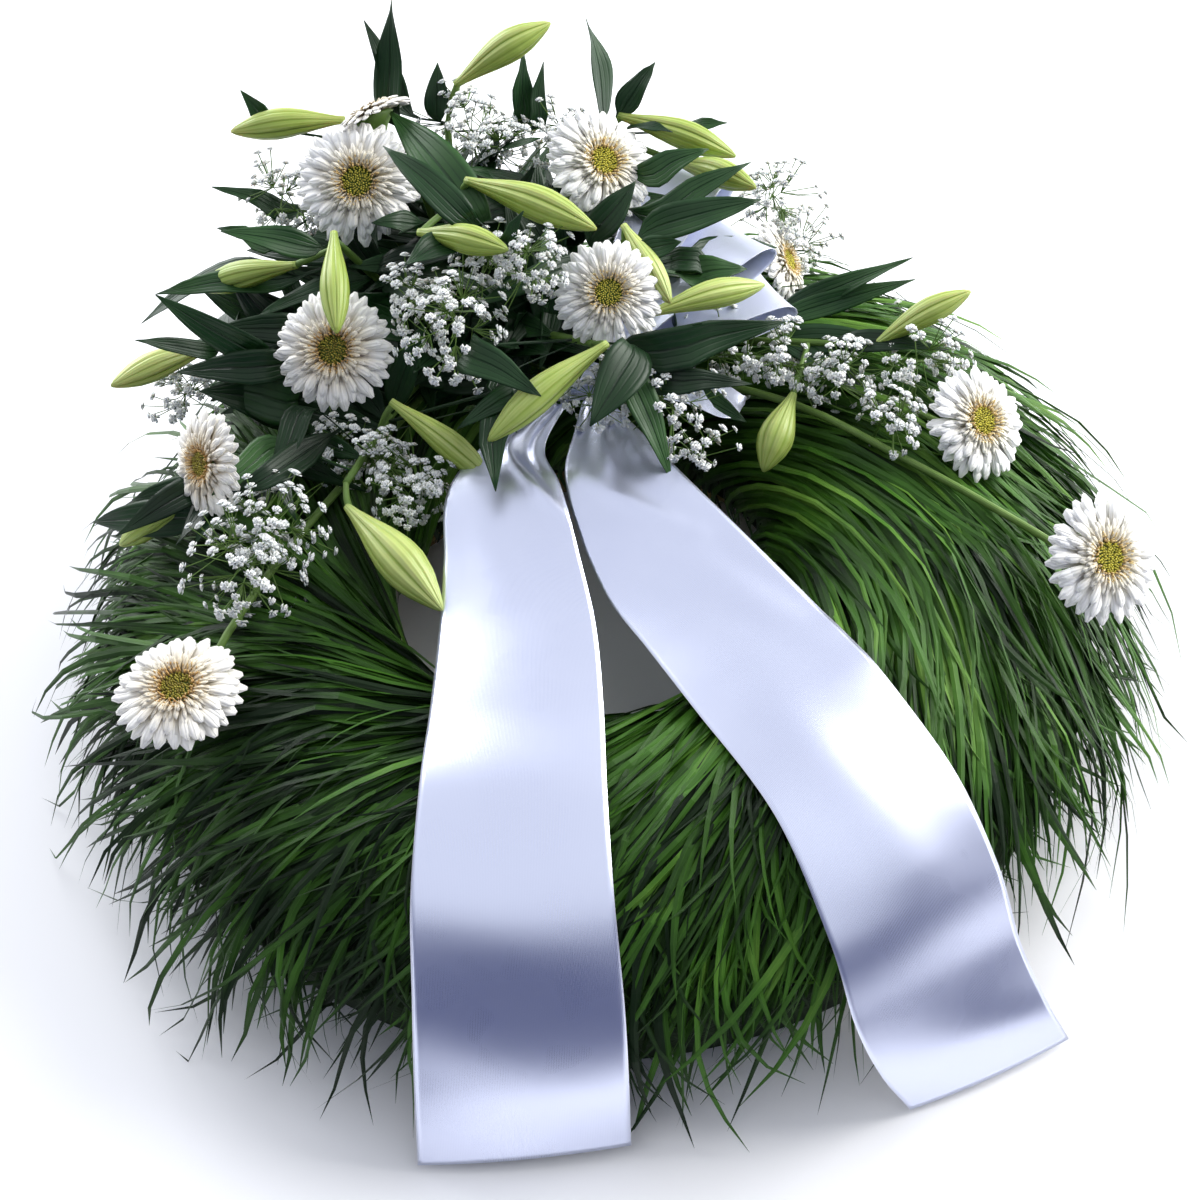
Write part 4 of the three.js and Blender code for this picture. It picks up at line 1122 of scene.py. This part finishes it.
# Lilies: the stalk's route out of the foam, then buds as base, tip and girth, and leaves as base, tip
# and width. One leaf has its own tone, and two stalks have fewer small leaves than the others.
lilies = {
    "lily_back": {
        "stalk": [(-92, 285, 300), (-90, 325, 355)],
        "buds": [((-80, 335, 385), (5, 360, 420), 1.12)],
        "leaves": [
            ((-134, 318, 366), (-124, 365, 453), 29), ((-124, 331, 366), (-149, 359, 440), 21),
            ((-98, 325, 360), (-93, 354, 396), 20), ((-30, 322, 350), (-20, 348, 404), 22),
            ((-20, 310, 352), (-4, 346, 392), 15),
        ],
    },
    "lily_back_right": {
        "stalk": [(-10, 275, 280), (45, 315, 335)],
        "buds": [((55, 322, 348), (150, 280, 325), 1.0), ((100, 290, 318), (160, 222, 334), 1.0)],
        "leaves": [
            ((42, 328, 345), (35, 362, 420), 34), ((58, 325, 350), (90, 342, 384), 22),
            ((105, 308, 336), (146, 305, 342), 16), ((70, 251, 335), (126, 262, 348), 26),
            ((69, 205, 328), (158, 238, 348), 24), ((65, 300, 350), (98, 285, 352), 14),
        ],
    },
    "lily_back_left": {
        "stalk": [(-135, 285, 290), (-170, 318, 350)],
        "buds": [((-175, 322, 370), (-270, 312, 376), 1.05)],
        "leaves": [
            ((-235, 318, 372), (-258, 332, 402), 20), ((-225, 280, 310), (-290, 276, 348), 22),
            ((-240, 225, 325), (-285, 232, 338), 20),
        ],
    },
    "lily_middle": {
        "stalk": [(-84, 220, 300), (-82, 200, 365)],
        "buds": [((-75, 200, 385), (25, 140, 370), 1.12), ((-115, 158, 370), (-45, 118, 375), 1.05)],
        "leaves": [
            ((-65, 170, 362), (-135, 300, 390), 38), ((-75, 150, 382), (-137, 218, 412), 27),
            ((-48, 132, 372), (-30, 135, 398), 14), ((-88, 152, 366), (-126, 112, 374), 26),
            ((-120, 215, 335), (-155, 200, 352), 20),
        ],
    },
    "lily_left": {
        "stalk": [(-150, 215, 270), (-185, 190, 345)],
        "buds": [((-182, 165, 372), (-182, 68, 350), 0.92), ((-220, 190, 325), (-308, 215, 290), 1.0)],
        "leaves": [
            ((-200, 170, 355), (-270, 165, 384), 24), ((-270, 235, 295), (-360, 200, 272), 24),
            ((-232, 205, 300), (-340, 195, 305), 26),
        ],
    },
    "lily_far_left": {
        "stalk": [(-235, 190, 245), (-295, 172, 262)],
        "buds": [((-300, 170, 265), (-378, 120, 275), 1.0)],
        "leaves": [
            ((-250, 108, 300), (-324, 124, 360), 26), ((-290, 120, 300), (-342, 95, 340), 16),
            ((-235, 120, 240), (-302, 90, 286), 44), ((-228, 95, 262), (-300, 118, 268), 40),
        ],
    },
    "lily_front_left": {
        "stalk": [(-145, 120, 232), (-190, 10, 246)],
        "buds": [((-190, -10, 240), (-120, -105, 212), 1.42), ((-150, 65, 278), (-75, 15, 226), 0.9)],
        "leaves": [
            ((-215, 70, 275), (-250, 8, 250), 22), ((-238, 48, 257), (-292, -6, 262), 28, 1.0),
            ((-240, 50, 250), (-302, 48, 205), 26), ((-48, 52, 292), (-97, 12, 290), 22),
            ((-72, 34, 288), (-72, -28, 258), 26),
        ],
    },
    "lily_front": {
        "stalk": [(-30, 150, 262), (15, 85, 300)],
        "buds": [((25, 70, 312), (-75, 5, 280), 1.05)],
        "leaves": [
            ((-85, 70, 320), (-30, 20, 308), 30), ((45, 65, 310), (5, 0, 290), 38),
            ((35, 60, 296), (65, -8, 232), 26), ((-60, 58, 298), (-52, 10, 282), 18),
        ],
    },
    "lily_right": {
        "stalk": [(0, 205, 290), (58, 150, 322)],
        "buds": [((62, 118, 298), (158, 150, 290), 0.95), ((48, 178, 342), (78, 107, 316), 0.85)],
        "leaves": [
            ((61, 152, 334), (92, 150, 342), 20), ((64, 186, 326), (162, 200, 338), 30),
            ((97, 168, 294), (146, 170, 292), 28), ((112, 201, 290), (176, 212, 278), 24),
            ((20, 190, 322), (62, 222, 352), 26),
        ],
    },
    "lily_ring_right": {
        "stalk": [(90, 165, 228), (240, 122, 240)],
        "buds": [((172, 75, 236), (140, 15, 210), 1.35), ((245, 120, 241), (325, 135, 275), 0.95)],
        "leaves": [
            ((176, 178, 236), (284, 174, 284), 20), ((170, 160, 242), (288, 180, 256), 20),
            ((70, 165, 228), (160, 168, 232), 40), ((60, 120, 226), (132, 62, 222), 34),
        ],
        "filling": 5,
    },
    "lily_low_left": {
        "stalk": [(-225, 105, 228), (-305, 32, 232)],
        "buds": [((-315, 20, 233), (-380, 15, 197), 1.0)],
        "leaves": [((-312, 10, 226), (-405, 46, 196), 30), ((-300, 40, 228), (-372, 58, 205), 24)],
        "filling": 6,
    },
}
bud = {
    "sides": 36,
    "rings": 24,
    "girth": [  # radius in millimetres against the share of the bud's length
        (0, 3.1), (0.08, 3.9), (0.2, 6.2), (0.36, 9.6), (0.5, 11.9), (0.62, 12.4), (0.76, 10.6), (0.88, 6.9),
        (0.96, 3.7), (1, 1.2),
    ],
    "usual": 92,  # a bud of this length has that girth
    "arch": 0.035,
    "seam": 0.14,  # depth of the seam between two petals, and of the two grooves beside each midrib
    "groove": 0.045,
    "narrow": 0.13,  # how narrow a seam or groove is
    "grooveAt": 0.33,
}
clear = {  # where no small leaf may end
    "heights": (-12, 150), "wider": 1.05, "cone": 0.1,
    "knotLeft": -135, "knotRight": 100, "knotBack": 78,
    "low": 206, "far": 150,
}
leaf = {"thickness": 0.9, "fold": 0.20, "wave": 1.6, "corrugation": 0.16, "bend": 0.08}
foliage = {
    "filling": 15,  # smaller leaves down each stalk fill the dark between the flowers
    "collar": 46,  # leaves that stand in the foam by themselves and hide it
    "reach": (262, 172, 196),  # half the size of the spray, from the foam's middle
    "length": (78, 122),
    "width": (20, 31),
    "collarLength": (85, 125),
    "collarWidth": (24, 36),
    "laid": [  # leaves laid over the bow and between the flowers, as base, tip and width
        ((58, 69, 300), (168, 92, 298), 34), ((60, 60, 280), (136, 51, 272), 26),
        ((85, 178, 300), (139, 179, 272), 24), ((-245, 96, 300), (-321, 109, 292), 28),
        ((-220, 137, 300), (-295, 134, 312), 26), ((-238, 7, 270), (-281, -13, 262), 26),
    ],
}


def addBud(bench, root, base, tip, stout, tone):  # three broad petals closed on each other, with a blunt beak
    base, tip = Vector(base), Vector(tip)
    length = (tip - base).length
    foot = base.lerp(tip, 0.03)
    addRod(bench, [root * mm, root.lerp(base, 0.6) * mm, foot * mm], 2.3 * mm, 3.0 * mm, 0.7)
    arch = up.cross(tip - base)
    arch = (tip - base).cross(arch).normalized() if arch.length > 1 else Vector((0, 1, 0))
    crest = base.lerp(tip, 0.5) + arch * length * bud["arch"]
    line = spline([base * mm, crest * mm, tip * mm], bud["rings"])
    shares = np.linspace(0, 1, bud["rings"])
    girth = np.interp(shares, *zip(*bud["girth"]))
    swollen = np.sin(math.pi * shares) ** 0.5
    girth = girth * (1 + (stout * min(1.1, length / bud["usual"]) ** 0.5 - 1) * swollen)
    angles = roundTurn(bud["sides"])
    petal = np.abs((angles / (2 * math.pi / 3) + 0.5) % 1 - 0.5) * 2  # 0 on a midrib, 1 on a seam
    seam = np.exp(-(((1 - petal) / bud["narrow"]) ** 2))
    groove = np.exp(-(((petal - bud["grooveAt"]) / bud["narrow"]) ** 2))
    depth = (bud["seam"] * seam + bud["groove"] * groove)[None] * np.clip(shares * 5 + 0.1, 0, 1)[:, None]
    wheel = wheels(line, bud["sides"])
    rings = line[:, None] + wheel * (girth[:, None] * mm * (1 - depth))[..., None]
    # Painted light: the tone rises with the upward share of the surface, so buds are lighter on top and
    # darker underneath.
    bench.loft(rings, "bud", marksOf(rings, shares[:, None], petal, tone + 0.22 * wheel[..., 2]))


def addLeaf(bench, root, base, tip, width, tone, twist=0.0, columns=8, steps=16):
    root, base, tip = Vector(root), Vector(base), Vector(tip)
    outward = (base.lerp(tip, 0.5) - Vector(foam["centre"])).normalized()
    outward = Vector((outward.x, outward.y - 0.35, 1.1)).normalized()
    length = (tip - base).length
    bend = base.lerp(tip, 0.45) + outward * leaf["bend"] * length
    line = spline([root * mm, base * mm, bend * mm, tip * mm], steps)
    run = np.linspace(0, 1, steps)
    foot = min(0.7, (base - root).length / ((base - root).length + length))
    shares = np.clip((run - foot * 0.8) / (1 - foot * 0.8), 0, 1)
    half = (np.sin(np.pi * shares**0.72) * (1 - 0.25 * shares)) ** 0.9 * 1.12 * width / 2 * mm
    half = np.maximum(half, np.where(shares <= 0.02, 1.5 * mm, 0.4 * mm))
    side = unit(np.cross(unit(tip - base), outward))
    lift = unit(np.cross(side, unit(np.gradient(line, axis=0))))
    turn = twist * shares[:, None]
    sides = (side * np.cos(turn) + lift * np.sin(turn))[:, None]
    lifts = (lift * np.cos(turn) - side * np.sin(turn))[:, None]
    u = np.linspace(-1, 1, columns + 1)
    v = np.abs(u)[None]
    blade = (half > 3 * mm)[:, None]
    ripple = leaf["wave"] * mm * np.sin(shares * 9 + tone * 20)[:, None] * v**2 * np.sign(u)[None]
    channels = leaf["corrugation"] * mm * np.cos(2 * math.pi * u)[None]
    form = leaf["fold"] * v * half[:, None] + (ripple + channels) * blade
    thick = leaf["thickness"] * mm / 2 * (1 - 0.75 * v**2)
    top = line[:, None] + sides * (u[None] * half[:, None])[..., None] + lifts * (form + thick)[..., None]
    bottom = top - lifts * (2 * thick)[..., None]
    rings = np.concatenate([top, bottom[:, ::-1]], 1)
    bench.loft(rings, "leaf", marksOf(rings, shares[:, None], np.concatenate([u, u[::-1]]), tone))


def inTheWay(point):  # before a flower, over the ribbons' knot, or outside the spray
    behind, before = clear["heights"]
    for flower in gerberas.values():
        axis = Vector(flower["faces"]).normalized()
        away = point - Vector(flower["at"])
        height = away.dot(axis)
        aside = (away - axis * height).length
        if behind < height < before and aside < flower["radius"] * clear["wider"] + height * clear["cone"]:
            return True
    if clear["knotLeft"] < point.x < clear["knotRight"] and point.y < clear["knotBack"]:
        return True
    return point.z < clear["low"] and (point - Vector(foam["centre"])).length > clear["far"]


def withinSpray(point):
    away = point - Vector(foam["centre"])
    return sum((a / r) ** 2 for a, r in zip(away, foliage["reach"])) < 1


def addFiller(bench, root, way, dice, within):
    base = root + way * 8
    tip = base + way * dice.uniform(*foliage["length"]) - up * dice.uniform(0, 20)
    if inTheWay(tip) or inTheWay(base.lerp(tip, 0.5)) or (within and not withinSpray(tip)):
        return False
    width, tone, twist = dice.uniform(*foliage["width"]), dice.uniform(0.0, 0.6), dice.uniform(-0.6, 0.6)
    addLeaf(bench, root, base, tip, width, tone, twist, 6, 12)
    return True


def randomWay(dice, outward):
    way = Vector((dice.gauss(0, 1), dice.gauss(0, 1), dice.gauss(0, 0.7))).normalized() * 0.9 + outward
    return way.normalized()


def makeStem(name, lily, dice):
    bench = Bench("stem", "bud", "leaf")
    route = [footOf(lily["stalk"][0]), *(Vector(p) for p in lily["stalk"])]
    addRod(bench, [p * mm for p in route], 3.8 * mm, 3.0 * mm, 0.3)
    samples = [Vector(p) / mm for p in spline([p * mm for p in route], 25)][6:]

    def nearest(point):
        return min(samples, key=lambda p: (p - Vector(point)).length)

    for base, tip, stout in lily["buds"]:
        addBud(bench, nearest(base), base, tip, stout, dice.uniform(0.35, 0.65))
    for base, tip, width, *tone in lily["leaves"]:
        tone = tone[0] if tone else dice.uniform(0.2, 0.75)
        addLeaf(bench, nearest(base), base, tip, width, tone, dice.uniform(-0.4, 0.4))
    wanted = lily.get("filling", foliage["filling"])
    for _ in range(wanted * 12):
        root = dice.choice(samples)
        outward = (root - Vector(foam["centre"])).normalized() * 0.55
        wanted -= addFiller(bench, root, randomWay(dice, outward), dice, "filling" not in lily)
        if not wanted:
            break
    settle(bench.make(name + "_stem"), "lily", name)


def makeCollar(dice):
    bench = Bench("leaf")
    wanted = foliage["collar"]
    for k in range(wanted * 8):
        angle, rise = k * golden, dice.uniform(-0.12, 1.0)
        way = Vector((math.cos(angle), 0.75 * math.sin(angle), rise)).normalized()
        root = footOf(Vector(foam["centre"]) + way * 160)
        base = root + way * (foam["depth"] + 6)
        if not inTheWay(base + way * 70) and not inTheWay(base + way * 120):
            tip = base + way * dice.uniform(*foliage["collarLength"]) - up * dice.uniform(0, 14)
            width = dice.uniform(*foliage["collarWidth"])
            addLeaf(bench, root, base, tip, width, dice.uniform(0.0, 0.55), dice.uniform(-0.5, 0.5), 6, 12)
            wanted -= 1
        if not wanted:
            break
    for base, tip, width in foliage["laid"]:
        addLeaf(bench, footOf(base), base, tip, width, dice.uniform(0.05, 0.4), dice.uniform(-0.4, 0.4))
    settle(bench.make("lily_leaf_collar"), "lily")


def makeLilies():
    dice = random.Random(7)
    for name, lily in lilies.items():
        makeStem(name, lily, dice)
    makeCollar(dice)
    print("lilies made")


makeLilies()


# Gypsophila: each spray's clouds of little flowers, as the middle and the radius in millimetres.
gypsophila = {
    "gypsophila_back": {"clouds": [(-72, 322, 352, 40), (-44, 295, 345, 30), (-4, 308, 342, 30)]},
    "gypsophila_back_left": {"clouds": [(-232, 270, 330, 34)]},
    "gypsophila_middle": {
        "clouds": [(-94, 98, 324, 44), (-130, 128, 325, 30), (-26, 132, 348, 34), (-58, 150, 340, 28)]
    },
    "gypsophila_front_left": {"clouds": [(-195, 75, 222, 36), (-135, 20, 228, 38), (-166, 40, 235, 30)]},
    "gypsophila_left": {"clouds": [(-268, -58, 232, 42), (-248, -30, 246, 36)]},
    "gypsophila_knot": {
        "fork": (34, 98, 282), "clouds": [(8, 62, 274, 30), (68, 55, 252, 36), (88, 20, 236, 20)]
    },
    "gypsophila_right": {
        "fork": (80, 150, 231), "clouds": [(118, 118, 240, 36), (168, 110, 240, 36), (212, 90, 236, 36)]
    },
    "gypsophila_ring_right": {"clouds": [(278, 105, 234, 38), (240, 38, 226, 30)]},
    "gypsophila_back_right": {"clouds": [(188, 292, 268, 34), (190, 280, 222, 40)]},
    "gypsophila_far_left": {"clouds": [(-330, 150, 232, 30)]},
}
floret = {"petals": 11, "radius": 4.7, "spacing": 7.8, "nearest": 0.78, "density": 3.5, "clump": 4}
twig = {"stem": 2.6, "trunk": 2.2, "branch": 1.8, "hub": 1.15, "bend": 0.75, "tip": 0.7}  # thicknesses


def sprayTree():  # twigs along the edges of the skeleton, and a double flower on every point that is a tip
    sizes = {"Twig": 0.0005, "Flower": 0.0033, "Petals": 11, "Seed": 1}
    flow = Growth("gypsophilaSpray", sizes, takesMesh=True)
    skeleton = flow.size("Geometry")
    line = flow.node("GeometryNodeMeshToCurve", {"Mesh": skeleton})
    thick = flow.named("thick", "FLOAT")
    line = flow.node("GeometryNodeSetCurveRadius", {"Curve": line, "Radius": thick})
    wheel = flow.node("GeometryNodeCurvePrimitiveCircle", {"Resolution": 4, "Radius": flow.size("Twig")})
    twigs = flow.node("GeometryNodeCurveToMesh", {"Curve": line, "Profile Curve": wheel, "Fill Caps": True})
    inside = flow.node("GeometryNodeInputPosition")
    twigs = flow.shape(twigs, inside, flow.join(0.5, 0.0, 0.35), looks["stem"])

    mesh, petal, x, y, along = flow.rods(flow.size("Petals"), 3, 1)
    climb = petal / flow.size("Petals")
    tilt = climb * 1.3 + 0.1
    half = along.curve([(0, 0.35), (0.6, 1.0), (1, 0.95)]) * 0.50
    long = along * (climb * -0.35 + 1)
    out = long * tilt.cos() - x * 0.09 * tilt.sin()
    height = long * tilt.sin() + x * 0.09 * tilt.cos()
    place = flow.around(petal * golden, out, y * half, height).scaled(flow.size("Flower"))
    flower = flow.shape(mesh, place, flow.join(along * 0.4 + 0.6, y, climb), looks["gypsophila"])
    way = {"Vector": flow.named("way", "FLOAT_VECTOR")}
    inputs = {
        "Points": skeleton,
        "Selection": flow.named("tip", "FLOAT").calc("GREATER_THAN", 0.5),
        "Instance": flower,
        "Rotation": flow.node("FunctionNodeAlignRotationToVector", way, axis="Z"),
        "Scale": flow.draw(0.72, 1.15, flow.node("GeometryNodeInputIndex"), 9),
    }
    flow.finish(twigs, flow.node("GeometryNodeInstanceOnPoints", inputs))
    return flow


def spraySkeleton(name, spray, dice):  # stem, branches, twigs and tips as points and edges
    clouds = [(Vector(c[:3]), c[3]) for c in spray["clouds"]]
    middle = sum((c for c, _ in clouds), Vector()) / len(clouds)
    fork = Vector(spray["fork"]) if "fork" in spray else middle.lerp(Vector(foam["centre"]), 0.3)
    points, edges, thick, tips, ways = [], [], [], [], []

    def point(place, size, tip=0.0, way=up):
        points.append(Vector(place) * mm)
        thick.append(size)
        tips.append(tip)
        ways.append(Vector(way).normalized())
        return len(points) - 1

    def grow(last, end, size, bow, steps):
        begin = points[last] / mm
        side = Vector((dice.uniform(-1, 1), dice.uniform(-1, 1), dice.uniform(-1, 1))) * bow
        for k in range(1, steps + 1):
            here = begin.lerp(end, k / steps) + side * math.sin(math.pi * (k / steps))
            new = point(here, size, way=end - begin)
            edges.append((last, new))
            last = new
        return last

    def headsIn(centre, radius, count):
        heads = []
        for _ in range(count * 30):
            if len(heads) >= count:
                break
            way = Vector((dice.gauss(0, 1), dice.gauss(0, 1), dice.gauss(0, 1) + 0.35)).normalized()
            clump = centre + way * radius * (0.40 + 0.75 * dice.random() ** 0.7) * dice.uniform(0.85, 1.15)
            for _ in range(dice.randint(1, floret["clump"])):
                place = clump + Vector((dice.gauss(0, 5), dice.gauss(0, 5), dice.gauss(0, 4)))
                if all((place - other).length > floret["spacing"] * floret["nearest"] for other in heads):
                    heads.append(place)
        return heads

    crotch = grow(point(footOf(fork), twig["stem"]), fork, twig["trunk"], 2, 4)
    for centre, radius in clouds:
        short = 0.35 * radius / max(1, (centre - fork).length)
        start = grow(crotch, centre.lerp(fork, short), twig["branch"], 3, 3)
        count = int(floret["density"] * (radius / floret["spacing"]) ** 2)
        ends = headsIn(centre, radius, count)
        hubs = [centre + (e - centre) * 0.42 for e in dice.sample(ends, min(len(ends), max(5, count // 8)))]
        knots = [grow(start, hub, twig["hub"], 2, 2) for hub in hubs]
        for end in ends:
            near = min(knots, key=lambda k: (points[k] / mm - end).length)
            middle = (points[near] / mm).lerp(end, 0.5) + Vector((0, 0, -dice.uniform(0, 2)))
            bend = point(middle, twig["bend"])
            last = point(end, twig["tip"], 1.0, (end - centre) + Vector((0, 0, radius * 0.4)))
            edges.extend([(near, bend), (bend, last)])
    mesh = newMesh(name, points, [], edges)
    addAttribute(mesh, "thick", "FLOAT", thick)
    addAttribute(mesh, "tip", "FLOAT", tips)
    addAttribute(mesh, "way", "FLOAT_VECTOR", ways)
    return mesh


def makeGypsophila():
    flow = sprayTree()
    dice = random.Random(11)
    for number, (name, spray) in enumerate(gypsophila.items()):
        skeleton = spraySkeleton(name + "_skeleton", spray, dice)
        sizes = {"Flower": floret["radius"] * mm, "Petals": floret["petals"], "Seed": number + 1}
        piece = showMesh(name + "_spray", flow.grow(name + "_spray", sizes, skeleton))
        settle(piece, "gypsophila", name)
    print("gypsophila made")


makeGypsophila()


# The studio: bright overhead and behind, with a deep blue wall low down in front.
studio = {
    "sky": (0.84, 0.87, 0.94),
    "wall": (0.020, 0.034, 0.13),
    "brightTowards": (0, 0.6, 1),
    "between": (-0.02, 0.38),  # the wall fades into the sky between these shares of the bright way
    "lamps": {
        "window": {"at": (3.0, 1.1, 1.7), "size": 3.0, "power": 200, "colour": (1.0, 0.99, 0.97)},
        "door": {"at": (-1.8, 2.6, 1.7), "size": 2.4, "power": 120, "colour": (0.97, 0.98, 1.0)},
    },
    "lit": (0, 0, 0.1),
    "floor": 12,
}


def makeSky():
    world = bpy.data.worlds.new("studio")
    world.use_nodes = True
    sky = Tree(world.node_tree)
    way = sky.node("ShaderNodeTexCoord", result="Generated")
    bright = tuple(Vector(studio["brightTowards"]).normalized())
    facing = way.vector("DOT_PRODUCT", bright, result="Value")
    low, high = studio["between"]
    share = ((facing - low) / (high - low)).clipped()
    smooth = share * share * (share * -2 + 3) * (facing * -0.35 + 1.2)
    colour = sky.blend(smooth, studio["wall"], studio["sky"])
    feed(sky.tree, sky.tree.nodes["Background"].inputs["Color"], colour)
    return world


def makeStage():
    far = studio["floor"]
    corners = [(-far, -far, 0), (far, -far, 0), (far, far, 0), (-far, far, 0)]
    floor = newMesh("floor", corners, [(0, 1, 2, 3)])
    plain = Paint("floor", Roughness=0.9, Specular_IOR_Level=0.1, Base_Color=(0.92, 0.92, 0.93, 1))
    floor.materials.append(plain.material)
    showMesh("floor", floor)
    bpy.context.scene.world = makeSky()
    for name, lamp in studio["lamps"].items():
        data = bpy.data.lights.new(name, "AREA")
        data.shape, data.size, data.energy, data.color = "DISK", lamp["size"], lamp["power"], lamp["colour"]
        light = bpy.data.objects.new(name, data)
        light.location = lamp["at"]
        way = Vector(studio["lit"]) - Vector(lamp["at"])
        light.rotation_euler = way.to_track_quat("-Z", "Y").to_euler()
        bpy.context.scene.collection.objects.link(light)
    bpy.context.scene.view_settings.view_transform = "Standard"
    print("stage set")


makeStage()
